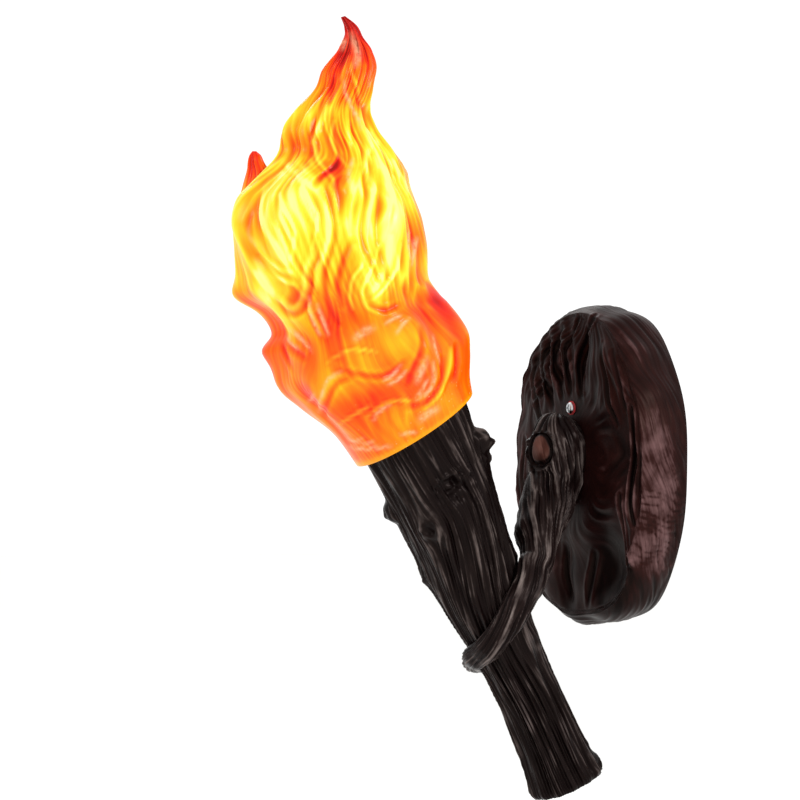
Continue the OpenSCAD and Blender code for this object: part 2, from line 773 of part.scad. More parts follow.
// One lead: the shared route moved sideways, spread at both ends.
module lead(side) {
  line = sampled(lead_line, lead_step);
  beside = carried(headings(line), [1, 0, 0]);
  n = len(line) - 1;
  p = [for (i = [0:n]) line[i] + side * lead_spread(lead_last * i / n) * beside[i]];
  skin(tube_rings(p, [for (q = p) lead_d / 2], 8, [1, 0, 0]));
}

module live_lead() {
  color("#5a3a22") lead(1);
}

module neutral_lead() {
  color("#2f5fa8") lead(-1);
}

// ---- Gallery and lampholder ----

module gallery_plate() {
  color("#8d8f92")
  on_log() translate([0, 0, log_l])
    difference() {
      cylinder(d = gallery_d, h = gallery_t, $fn = 96);
      translate([0, 0, -past]) cylinder(d = tube_d + 2 * thread_play, h = gallery_t + 2 * past);
      for (a = gallery_screw_turns)
        rotate(a) translate([gallery_screw_r, 0, -past])
          cylinder(d = 3.4, h = gallery_t + 2 * past);
    }
}

module gallery_screws() {
  color("#b9bcc0")
  on_log() translate([0, 0, gallery_top])
    for (a = gallery_screw_turns)
      rotate(a) translate([gallery_screw_r, 0, 0])
        pan_screw(3, 5.6, 2, gallery_t + 14);
}

module nipple() {
  color("#c9a24a")
  on_log() translate([0, 0, log_l - 8])
    tube(tube_d, tube_bore, gallery_t + 18);
}

module nipple_nut() {
  color("#b9bcc0")
  on_log() translate([0, 0, log_l - nut_t])
    nut(nut_af, tube_d + 2 * thread_play, nut_t);
}

module holder_cap() {
  r = holder_d / 2;
  color("#ece9e2")
  on_log() translate([0, 0, gallery_top])
    turned([[tube_d / 2 + thread_play, 0], [r - 3, 0], [r, 4], [r, holder_cap_h],
            [r - holder_wall, holder_cap_h], [r - holder_wall, 5], [r - holder_wall - 2, 3],
            [tube_d / 2 + thread_play, 3]]);
}

module holder_body() {
  r = holder_d / 2;
  in = r - holder_wall;
  lip = cap_d / 2 + 2;
  color("#ece9e2")
  on_log() translate([0, 0, gallery_top + holder_cap_h])
    turned([[in, 0], [r, 0], [r - 1.2, holder_body_h - 3], [r - 3, holder_body_h],
            [lip, holder_body_h], [lip, holder_body_h - 2], [in - 1, holder_body_h - 6], [in, 8]]);
}

module holder_insulator() {
  color("#f3f0e8")
  on_log() translate([0, 0, insulator_z])
    difference() {
      cylinder(r = holder_d / 2 - holder_wall - 0.2, h = insulator_t);
      translate([0, 0, -past]) cylinder(d = 3, h = insulator_t + 2 * past);
    }
}

module screw_shell() {
  color("#c9a24a")
  on_log() translate([0, 0, insulator_z + insulator_t])
    tube(cap_d + 2 * turn_play + 1.4, cap_d + 2 * turn_play,
         holder_top - insulator_z - insulator_t - 2.5);
}

module centre_contact() {
  rise = contact_z - insulator_z - insulator_t - shade_gap;
  color("#c9a24a")
  on_log() translate([0, 0, insulator_z + insulator_t])
    rotate([90, 0, 0]) translate([0, 0, -3])
      linear_extrude(6)
        polygon([[-7, 0], [4, 0], [4, 0.5], [-4, 0.5], [5, rise - 0.5], [5, rise], [-1, rise],
                 [-7, 0.7]]);
}

// ---- Bulb ----

module bulb_cap() {
  r = cap_d / 2;
  color("#cfd1d3")
  on_log() translate([0, 0, cap_z])
    turned([[r - 3.5, 0], [r, 2.5], [r, cap_h], [r - 0.8, cap_h], [r - 0.8, 3], [r - 3.8, 0.6]]);
}

module bulb_contact() {
  color("#b7a06a")
  on_log() translate([0, 0, contact_z])
    turned([[0, 0], [3.5, 0.3], [4.8, 1.5], [0, 1.5]]);
}

module bulb_insulator() {
  color("#1c1c1e")
  on_log() translate([0, 0, contact_z + 1.5])
    turned([[0, 0], [4.8, 0], [cap_d / 2 - 3.8, 3.5], [cap_d / 2 - 3.8, 4.1], [0, 4.1]]);
}

module bulb_collar() {
  r = cap_d / 2;
  neck = cap_z + cap_h;
  wide = globe_d / 2 - 6;
  color("#f1efe9")
  on_log()
    turned([[r - 0.8, neck], [r + 1, neck], [r + 2.5, neck + 4], [wide, globe_z - 20],
            [wide - 3.5, globe_z - 20], [r + 0.5, neck + 4], [r - 0.8, neck + 2]]);
}

module bulb_globe() {
  r = globe_d / 2;
  low = asin(-20 / r);
  color("#fff3c8")
  on_log() translate([0, 0, globe_z])
    turned(concat([for (i = [0:12]) let (a = low + (90 - low) * i / 12) r * [cos(a), sin(a)]],
                  [for (i = [12:-1:0]) let (a = low + (90 - low) * i / 12)
                    (r - 1.5) * [cos(a), sin(a)] + [0, i == 0 ? -20 - (r - 1.5) * sin(low) : 0]]));
}

// ---- Flame shade ----

across = [cos(flame_turn), sin(flame_turn), 0];
near = [sin(flame_turn), -cos(flame_turn), 0];
up = [0, 0, 1];
rim_centre = log_point([0, 0, rim_z]);

// A section of the flame as [centre, half width, half depth], each a vector. A section stands
// at the depth where the plane of the log crosses the place that mid gives.
function flame_row(s, mid = undef) =
  let (w = flame_w / flame_drawn_w, h = flame_h / flame_drawn_h,
       way = w * (s[0] + s[2]) / 2, plane = is_undef(mid) ? way : w * mid)
  [rim_centre + way * across - plane / tan(flame_turn) * near + h * (s[1] + s[3]) / 2 * up,
   w * (s[2] - s[0]) / 2 * across + h * (s[3] - s[1]) / 2 * up,
   w * s[4] * near + h * s[5] * up];

// A round section square to the log or on the slope of the rim, turned as the flame's are.
function round_row(z, r, slope) =
  let (right = [cos(117 - flame_turn), sin(117 - flame_turn)], front = [right[1], -right[0]])
  [log_point([0, 0, z]),
   log_dir([r * right[0], r * right[1], r * (slope * right)]),
   log_dir([r * front[0], r * front[1], r * (slope * front)])];

flame_rows = concat([round_row(rim_z, rim_d / 2, rim_slope)], [for (s = flame_sections) flame_row(s)]);

// Folds that swirl up the flame, faded out at the rim and at the tip, and its locks.
function lock(u, a, b) =
  b[4] * exp(-pow((u - b[0]) / b[2], 2) - pow(turn(a, b[1]) / b[3], 2));
function flame_fade(u) = eased((u - 0.3) / 2) * (1 - 0.75 * eased((u - 14) / 8));
function flame_fold(u, a) =
  flame_fade(u) * (2.2 * sin(6 * a + 50 * sin(40 * u) + 12 * u)
                   + 1.3 * sin(9 * a - 22 * u + 40 * sin(25 * u)) - fold_sunk)
  + sum([for (b = flame_locks) lock(u, a, b)]);

// The section and angle that the strands are read at, turned by each eddy in its turn.
flame_eddies = concat(near_eddies,
                      [for (e = near_eddies) [e[0] + 0.6, e[1] + far_side, e[2], -e[3]]]);
function eddied(u, a, i = 0) =
  i >= len(flame_eddies) ? [u, a] :
  let (e = flame_eddies[i], du = u - e[0], da = turn(a, e[1]) / section_turn,
       t = e[3] * exp(-(du * du + da * da) / (e[2] * e[2])))
  eddied(u + sin(t) * da + (cos(t) - 1) * du,
         a + section_turn * ((cos(t) - 1) * da - sin(t) * du), i + 1);
function strand(u, a) =
  let (p = eddied(u, a))
  flame_fade(u) * (strand_rise * sin(flame_strands * p[1] + 60 * sin(22 * p[0])) + strand_out);

// One ring of the flame: plain, with its folds and strands, or with its folds drawn in by a wall.
function ring(row, rises) =
  let (rw = norm(row[1]), rd = norm(row[2]), n = len(rises))
  [for (k = [0:n - 1])
    let (a = -360 * k / n)
    row[0] + (1 + rises[k] / rw) * cos(a) * row[1] + (1 + rises[k] / rd) * sin(a) * row[2]];
function plain_ring(row, sides) = ring(row, [for (k = [1:sides]) 0]);
function outer_ring(u) =
  ring(curve(flame_rows, u),
       [for (k = [0:flame_sides - 1])
         let (a = -360 * k / flame_sides) flame_fold(u, a) + strand(u, a)]);
function inner_ring(u) =
  ring(curve(flame_rows, u),
       [for (k = [0:cavity_sides - 1]) flame_fold(u, -360 * k / cavity_sides) - shade_wall]);

module flame_body() {
  last = len(flame_rows) - 1;
  n = round(last / flame_step);
  skin([for (i = [0:n]) outer_ring(last * i / n)]);
}

module flame_tongue() {
  rows = [for (s = tongue_sections) flame_row(s, tongue_mid)];
  skin([for (row = sampled(rows, 0.5)) plain_ring(row, tongue_sides)]);
}

// The hollow over the ledge, a wall inside the flame.
module flame_cavity() {
  floor_z = ledge_z + ledge_t;
  floor_r = rim_d / 2 - shade_wall;
  skin(concat(
    [plain_ring(round_row(floor_z, floor_r, [0, 0]), cavity_sides)],
    [for (u = [1.7:0.82:cavity_last]) inner_ring(u)]
  ));
}

// The bore that slides over the gallery, and the hole inside its ledge.
module shade_bores() {
  bore_d = gallery_d + 2 * shade_gap;
  low = 30;
  on_log() translate([0, 0, rim_z - low]) {
    cylinder(d = bore_d, h = ledge_z - rim_z + low);
    cylinder(d = bore_d - 2 * ledge_w, h = ledge_z + ledge_t - rim_z + low + past);
  }
}

module flame_shade() {
  color("#ff8a1e")
  difference() {
    difference() {
      union() {
        flame_body();
        flame_tongue();
      }
      shade_bores();
    }
    flame_cavity();
  }
}

wall_plate();
wall_bracket();
canopy_screws();
fibre_washers();
terminal_block();
terminal_screws();
block_screw();
earth_screw();
arm_tube();
arm_washer();
arm_nut();
branch_arm();
cross_tube();
grip_screw();
torch_body();
live_lead();
neutral_lead();
gallery_plate();
gallery_screws();
nipple();
nipple_nut();
holder_cap();
holder_body();
holder_insulator();
screw_shell();
centre_contact();
bulb_cap();
bulb_contact();
bulb_insulator();
bulb_collar();
bulb_globe();
flame_shade();
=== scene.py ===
import json
import math

import bpy
import numpy as np
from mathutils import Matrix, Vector


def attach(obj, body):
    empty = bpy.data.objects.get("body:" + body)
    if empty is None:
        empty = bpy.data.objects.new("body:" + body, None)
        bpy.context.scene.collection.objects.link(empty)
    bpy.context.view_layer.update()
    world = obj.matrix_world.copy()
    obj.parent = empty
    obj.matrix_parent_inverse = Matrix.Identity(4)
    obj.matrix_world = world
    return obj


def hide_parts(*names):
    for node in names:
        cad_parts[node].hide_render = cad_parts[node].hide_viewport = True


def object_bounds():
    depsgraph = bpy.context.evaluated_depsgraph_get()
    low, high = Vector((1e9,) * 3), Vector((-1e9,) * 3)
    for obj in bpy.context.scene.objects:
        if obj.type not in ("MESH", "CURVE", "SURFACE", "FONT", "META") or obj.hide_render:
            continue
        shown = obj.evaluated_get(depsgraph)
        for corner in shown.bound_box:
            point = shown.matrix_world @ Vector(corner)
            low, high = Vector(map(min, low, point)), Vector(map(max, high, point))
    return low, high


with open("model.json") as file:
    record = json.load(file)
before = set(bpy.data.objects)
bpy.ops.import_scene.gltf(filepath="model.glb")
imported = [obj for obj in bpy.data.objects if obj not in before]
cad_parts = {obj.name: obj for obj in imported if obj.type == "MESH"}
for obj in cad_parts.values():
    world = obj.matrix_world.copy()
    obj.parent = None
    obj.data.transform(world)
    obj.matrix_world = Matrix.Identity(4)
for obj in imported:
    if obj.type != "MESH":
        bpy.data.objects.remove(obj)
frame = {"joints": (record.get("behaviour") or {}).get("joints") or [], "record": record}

bl_info = {
    "name": "Torch sconce",
    "version": (1, 0, 0),
    "blender": (4, 5, 0),
    "location": "3D View > Sidebar > Sconce",
    "description": "Dresses the torch sconce: flame shade, log, branch, wall plate and fittings",
    "category": "Object",
}

# Lengths in this file are in millimetres, and MM takes them to metres. The part's frame is the
# CAD model's: +Z up, +Y into the wall, the wall at Y = 0.
MM = 0.001
CAD_BOX = [list(corner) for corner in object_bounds()]

# The log's frame: its foot, and the lean that the shade's slide gives.
LOG_FOOT = np.array([0.0, -53.6, -241.0])
LOG_UP = next(np.array(joint["axis"], float) for joint in frame["joints"]
              if joint["name"] == "shade_lift")
LOG_UP /= np.linalg.norm(LOG_UP)
LOG_SIDE = np.array([1.0, 0.0, 0.0])
LOG_BACK = np.cross(LOG_UP, LOG_SIDE)

# The photograph's view: the camera stands this far round from the front and looks level.
VIEW_TURN = math.radians(57)
VIEW_RIGHT = np.array([math.cos(VIEW_TURN), math.sin(VIEW_TURN), 0.0])
VIEW_BACK = np.array([math.sin(VIEW_TURN), -math.cos(VIEW_TURN), 0.0])


# ---- Numbers ----

def eased(t):
    """Nought to one as t goes from nought to one, with soft ends."""
    t = np.clip(t, 0.0, 1.0)
    return t * t * (3.0 - 2.0 * t)


def curve(rows, u):
    """A smooth curve through the rows, at u rows from the first. u may be an array."""
    rows = np.asarray(rows, float)
    u = np.asarray(u, float)
    last = len(rows) - 1
    i = np.clip(np.floor(u).astype(int), 0, last - 1)
    t = (u - i)[..., None]
    a = rows[np.maximum(i - 1, 0)]
    b = rows[i]
    c = rows[i + 1]
    d = rows[np.minimum(i + 2, last)]
    return 0.5 * (2 * b + (c - a) * t + (2 * a - 5 * b + 4 * c - d) * t**2
                  + (3 * b - a - 3 * c + d) * t**3)


def hill(*offsets):
    """A smooth hill, one at its top, over offsets given in its own widths."""
    return np.exp(-sum(offset**2 for offset in offsets))


def round_angles(columns):
    """Angles in radians once round, in the order that turns a skin's faces outwards."""
    return -np.linspace(0, 2 * math.pi, columns, endpoint=False)


def turn(a, b):
    """The turn from one angle to another in degrees, the short way."""
    return (a - b + 180.0) % 360.0 - 180.0


def wander(p, wave, seed, count=14):
    """Smooth noise at the points p, from -1 to 1 or so, of about one wavelength in mm."""
    rng = np.random.default_rng(seed)
    total = np.zeros(p.shape[:-1])
    for _ in range(count):
        way = rng.normal(size=3)
        way *= rng.uniform(0.75, 1.3) / np.linalg.norm(way)
        total += np.cos(2 * math.pi / wave * (p @ way) + rng.uniform(0, 2 * math.pi))
    return total * math.sqrt(2.0 / count) * 0.6


def strands(angle, height, radius, stretch):
    """Coordinates in which noise comes out as strands that run along the height."""
    return np.stack([radius * np.cos(angle), radius * np.sin(angle), height / stretch], axis=-1)


def along(x, z, points, reach):
    """The distance of places from a smooth line through points, and the share of the way."""
    line = curve(points, np.linspace(0, len(points) - 1, 8 * len(points)))
    low, high = line.min(0) - reach, line.max(0) + reach
    close = (x > low[0]) & (x < high[0]) & (z > low[1]) & (z < high[1])
    px, pz = x[close], z[close]
    best, place = np.full(px.shape, 1e6), np.zeros(px.shape)
    for i, (a, b) in enumerate(zip(line[:-1], line[1:])):
        way = b - a
        t = np.clip(((px - a[0]) * way[0] + (pz - a[1]) * way[1]) / (way @ way), 0, 1)
        far = np.hypot(px - a[0] - t * way[0], pz - a[1] - t * way[1])
        place = np.where(far < best, (i + t) / (len(line) - 1), place)
        best = np.minimum(far, best)
    distance, share = np.full(x.shape, 1e6), np.zeros(x.shape)
    distance[close], share[close] = best, place
    return distance, share


def tapered(share):
    """One along a line's middle, and less at its ends."""
    return np.sin(math.pi * np.clip(0.06 + 0.88 * share, 0, 1)) ** 0.6


# ---- Mesh ----

def clear_selection():
    """Deselects all, in object mode."""
    if bpy.context.mode != "OBJECT":
        bpy.ops.object.mode_set(mode="OBJECT")
    bpy.ops.object.select_all(action="DESELECT")


def only(piece):
    """Selects one piece alone."""
    clear_selection()
    piece.select_set(True)
    bpy.context.view_layer.objects.active = piece


def weld(piece, gap=0.002):
    """Merges the seams and poles, and turns the faces outwards."""
    only(piece)
    bpy.ops.object.mode_set(mode="EDIT")
    bpy.ops.mesh.select_all(action="SELECT")
    bpy.ops.mesh.remove_doubles(threshold=gap * MM)
    bpy.ops.mesh.normals_make_consistent(inside=False)
    bpy.ops.object.mode_set(mode="OBJECT")


def mark(piece, name, values):
    """Keeps a number or a vector for each point of the mesh, as an attribute."""
    kind, field = ("FLOAT_VECTOR", "vector") if values.ndim == 2 else ("FLOAT", "value")
    layer = piece.data.attributes.new(name, kind, "POINT")
    layer.data.foreach_set(field, values.astype(np.float32).ravel())


def read_points(piece):
    """The mesh's points, in millimetres."""
    places = np.zeros(len(piece.data.vertices) * 3)
    piece.data.vertices.foreach_get("co", places)
    return places.reshape(-1, 3) / MM


def read_normals(piece):
    """The outward direction at each point of the mesh."""
    ways = np.zeros(len(piece.data.vertices) * 3)
    piece.data.vertex_normals.foreach_get("vector", ways)
    return ways.reshape(-1, 3)


def write_points(piece, points):
    """Moves the mesh's points to places in millimetres."""
    piece.data.vertices.foreach_set("co", (points * MM).ravel())
    piece.data.update()


def loft(name, rings, **marks):
    """A closed skin over rings of points, with an attribute for each mark over them.

    It starts as a grid whose two sides meet in a seam."""
    rows, columns = rings.shape[:2]
    clear_selection()
    bpy.ops.mesh.primitive_grid_add(x_subdivisions=columns, y_subdivisions=rows - 1, size=1)
    piece = bpy.context.active_object
    piece.name = name
    piece.data.name = name

    def with_seam(values):
        closed = np.concatenate([values, values[:, :1]], axis=1)
        return closed.reshape(-1, *values.shape[2:])

    write_points(piece, with_seam(rings))
    for kind, values in marks.items():
        mark(piece, kind, with_seam(values))
    weld(piece)
    bpy.ops.object.shade_smooth()
    return piece


def pole(ring):
    """A ring drawn together to its middle, which closes a skin."""
    return np.repeat(ring.mean(0)[None], len(ring), axis=0)


def held_in_box(points):
    """The points, moved so that none lies outside the box of the whole part."""
    low, high = (np.array(corner) / MM for corner in CAD_BOX)
    return np.clip(points, low, high)


def join(pieces, name):
    """Joins pieces into the first one."""
    clear_selection()
    for piece in pieces:
        piece.select_set(True)
    bpy.context.view_layer.objects.active = pieces[0]
    bpy.ops.object.join()
    pieces[0].name = name
    pieces[0].data.name = name
    return pieces[0]


def dress(piece, material):
    """Gives a piece one material."""
    piece.data.materials.clear()
    piece.data.materials.append(material)


# ---- Materials ----

def linear(code):
    """A colour's linear value from its sRGB hex code."""
    parts = [int(code[i:i + 2], 16) / 255 for i in (1, 3, 5)]
    return [c / 12.92 if c <= 0.04045 else ((c + 0.055) / 1.055) ** 2.4 for c in parts] + [1.0]


def new_material(name):
    """A material, its node tree and its shader."""
    material = bpy.data.materials.new(name)
    material.use_nodes = True
    tree = material.node_tree
    return material, tree, tree.nodes["Principled BSDF"]


def feed(tree, node, **inputs):
    """Sets a node's inputs to values, or links them to other sockets.

    An input goes by its name, or by i and its number where several have one name."""
    for key, value in inputs.items():
        numbered = key[0] == "i" and key[1:].isdigit()
        socket = node.inputs[int(key[1:]) if numbered else key.replace("_", " ")]
        if isinstance(value, bpy.types.NodeSocket):
            tree.links.new(value, socket)
        else:
            socket.default_value = value


def add(tree, kind, settings=None, **inputs):
    """A node with its settings, fed with its inputs."""
    node = tree.nodes.new(kind)
    for key, value in (settings or {}).items():
        setattr(node, key, value)
    feed(tree, node, **inputs)
    return node


def fill_ramp(node, stops):
    """Sets a colour ramp's stops from [place, hex code] pairs."""
    elements = node.color_ramp.elements
    while len(elements) > 1:
        elements.remove(elements[-1])
    elements[0].position = stops[0][0]
    elements[0].color = linear(stops[0][1])
    for place, code in stops[1:]:
        elements.new(place).color = linear(code)


def shaded(code, share):
    """A darker hex code of the same hue."""
    return "#" + "".join("%02X" % round(int(code[i:i + 2], 16) * share) for i in (1, 3, 5))


# ---- Flame ----

# The flame is as broad as it gets in the photograph's view, across and up from its rim's centre.
ACROSS, NEAR, UP = VIEW_RIGHT, VIEW_BACK, np.array([0.0, 0.0, 1.0])
# The rim: its height up the log, its radius, its slope to the side and back, and the way round
# the log that its first point faces.
FLAME_RIM_Z, FLAME_RIM_R = 301.0, 50.5
FLAME_RIM_SLOPE = (0.146, 0.111)
RIM_START = math.radians(60)
RIM_CENTRE = LOG_FOOT + FLAME_RIM_Z * LOG_UP
# The flame's sections from the rim to the tip: left end [across, up], right end [across, up],
# depth from the middle to the near side, and how far the near side drops.
FLAME_SECTIONS = [
    [-60, -4, 41, 42, 55, -12], [-83, 15, 40, 58, 60, -11], [-101, 33, 38, 74, 63, -9],
    [-103, 60, 25, 93, 63, -6], [-105, 74, 19, 100, 62, -4], [-113, 88, 13, 108, 62, -3],
    [-123, 100, 10, 114, 62, -2], [-129, 114, 8, 124, 62, 0], [-134, 135, 6, 141, 60, 0],
    [-137, 153, 4, 159, 57, 0], [-132, 171, 1, 171, 53, 0], [-121, 183, -5, 183, 49, 0],
    [-109, 195, -8, 195, 45, 0], [-100, 207, -15, 207, 40, 0], [-98, 223, -28, 223, 33, 0],
    [-88, 238, -34, 238, 27, 0], [-74, 254, -31, 254, 21, 0], [-69, 268, -28, 270, 18, 0],
    [-59, 281, -32, 283, 13, 0], [-53, 292, -38, 292, 8, 0], [-53, 300, -43, 301, 5, 0],
    [-55, 307, -52, 308, 1.5, 0],
]
# Large locks that stand out: [section, angle, height in sections, width in degrees, rise].
FLAME_LOCKS = [
    [4, 180, 0.45, 26, 9], [7, 180, 0.9, 28, 10], [4.5, 85, 1, 34, 4], [6.5, 300, 1, 30, 6],
    [10, 235, 1.2, 24, 6], [12.5, 330, 1.2, 26, 5], [9, 20, 1.3, 24, 3], [12, 100, 1.4, 26, 4],
]
# The small tongue beside the flame's large lobe, in sections like the flame's, and the place
# across at which the flame's middle plane carries it.
TONGUE_MID = -65.0
TONGUE_SECTIONS = [
    [-124, 150, -100, 150, 13, 0], [-131, 167, -98, 167, 13, 0], [-128, 180, -102, 180, 11, 0],
    [-125, 191, -108, 191, 8, 0], [-124, 199, -113, 199, 5.5, 0], [-123, 204, -115, 204, 4, 0],
    [-121, 207, -118, 207, 1.2, 0],
]
# The tongue's heat against height above the rim: orange at its root and red at its tip.
TONGUE_HEAT = [(165, 0.8), (178, 0.56), (188, 0.36), (198, 0.26), (207, 0.18)]
# The flame's girth is read as a round of this radius, and a section as this high, for its grain.
FLAME_REACH, SECTION_HIGH = 62.0, 14.0
# The bore over the gallery, the ledge that stands on it, and the wall. The hollow over the
# ledge reaches from one section to another, in this many rings.
BORE_R, LEDGE_R, LEDGE_Z, LEDGE_T, FLOOR_R, FLAME_WALL = 47.1, 40.1, 316.3, 3.0, 47.3, 3.2
HOLLOW_FROM, HOLLOW_TO, HOLLOW_RINGS = 1.7, 14.0, 40
# Where the two sides' paint meets: how far behind the middle, over what width, and how far the
# far side's paint is moved across.
EDGE_BACK, EDGE_BLEND, FAR_SHIFT = 7.0, 16.0, 12.0

# The heat of the paint against height above the rim: 0 is dark red and 1 nearly white.
HEAT_UP = [
    (-30, 0.47), (0, 0.46), (30, 0.43), (60, 0.43), (85, 0.46), (104, 0.58), (122, 0.76),
    (150, 0.86), (200, 0.86), (222, 0.78), (240, 0.66), (255, 0.52), (267, 0.35), (280, 0.22),
    (292, 0.12), (308, 0.0),
]
# Patches of paint: [across, up, half width, half height, tilt in degrees, change of heat].
HEAT_PATCHES = [
    [-87, 208, 7, 14, 0, -0.28], [-56, 190, 8, 26, 6, -0.3], [-68, 192, 4, 18, 28, -0.22],
    [-42, 200, 5, 16, -10, -0.2], [2, 145, 9, 24, 8, -0.42], [-4, 190, 6, 20, 20, -0.12],
    [-86, 98, 8, 6, 0, -0.1], [-112, 110, 18, 14, -35, 0.26], [-118, 140, 9, 20, 10, -0.10],
    [-100, 150, 16, 30, 0, 0.12], [-28, 106, 14, 18, 0, 0.22], [-58, 104, 9, 22, 0, -0.18],
    [-44, 128, 10, 14, 0, -0.14], [-22, 160, 14, 30, 0, 0.06], [18, 88, 26, 15, -35, -0.15],
    [-92, 26, 18, 14, -35, -0.10], [-28, 23, 34, 9, 14, -0.15], [-62, 76, 16, 12, 20, -0.12],
    [-12, 62, 26, 13, 15, 0.09], [-50, 36, 22, 10, 10, 0.06], [-94, 76, 11, 13, -40, 0.17],
    [28, 22, 10, 15, 30, 0.10], [-60, 262, 10, 12, 25, -0.08], [-120, 190, 11, 10, -30, -0.5],
    [-132, 150, 5, 26, 6, -0.12], [-70, -2, 40, 6, -20, -0.06], [-96, 84, 22, 14, -35, 0.16],
    [22, 98, 16, 22, -30, -0.12], [-86, 40, 14, 18, 10, 0.05], [30, 60, 8, 26, 0, -0.06],
]
# The amber on the lip where the flame narrows, seen from either side.
LIP_PATCHES = [[-130, 104, 14, 12, -20, 0.26], [-114, 86, 12, 15, -40, 0.26]]
# Strands on the folds: how many, their rise, and how far their middle stands out.
FLAME_STRANDS, STRAND_RISE, STRAND_OUT = 12, 1.2, 0.4
# Eddies that turn the strands on the near side: [section, angle, size in sections, turn]. As
# many turn the other way on the far side.
NEAR_EDDIES = [
    [3, 67, 2.2, 78], [2.7, 128, 2, -62], [6, 122, 1.7, -70], [5, 92, 1.4, 40],
    [10.6, 110, 2, 34], [12.6, 90, 1.3, -30], [9.7, 51, 1.8, -26], [1.7, 50, 1.4, -40],
]
FAR_SIDE = 190.0
# Degrees round the flame that are as long as one section is high.
SECTION_TURN = 13.0
FLAME_EDDIES = NEAR_EDDIES + [[u + 0.6, a + FAR_SIDE, size, -swing]
                              for u, a, size, swing in NEAR_EDDIES]
# What a brush stroke does: half width, rise, change of heat, and share of pale painted highlight.
# A stroke has a bank on either side that goes the other way.
STROKE_KINDS = {
    "lock": (2.1, 1.3, 0.14, 0.10), "thread": (1.3, 0.7, 0.20, 0.05),
    "groove": (2.1, -1.3, -0.20, 0.0), "ember": (5.2, -0.4, -0.22, 0.0),
    "gleam": (1.3, 0.7, 0.02, 0.6), "bright gleam": (2.4, 0.7, 0.02, 0.62),
}
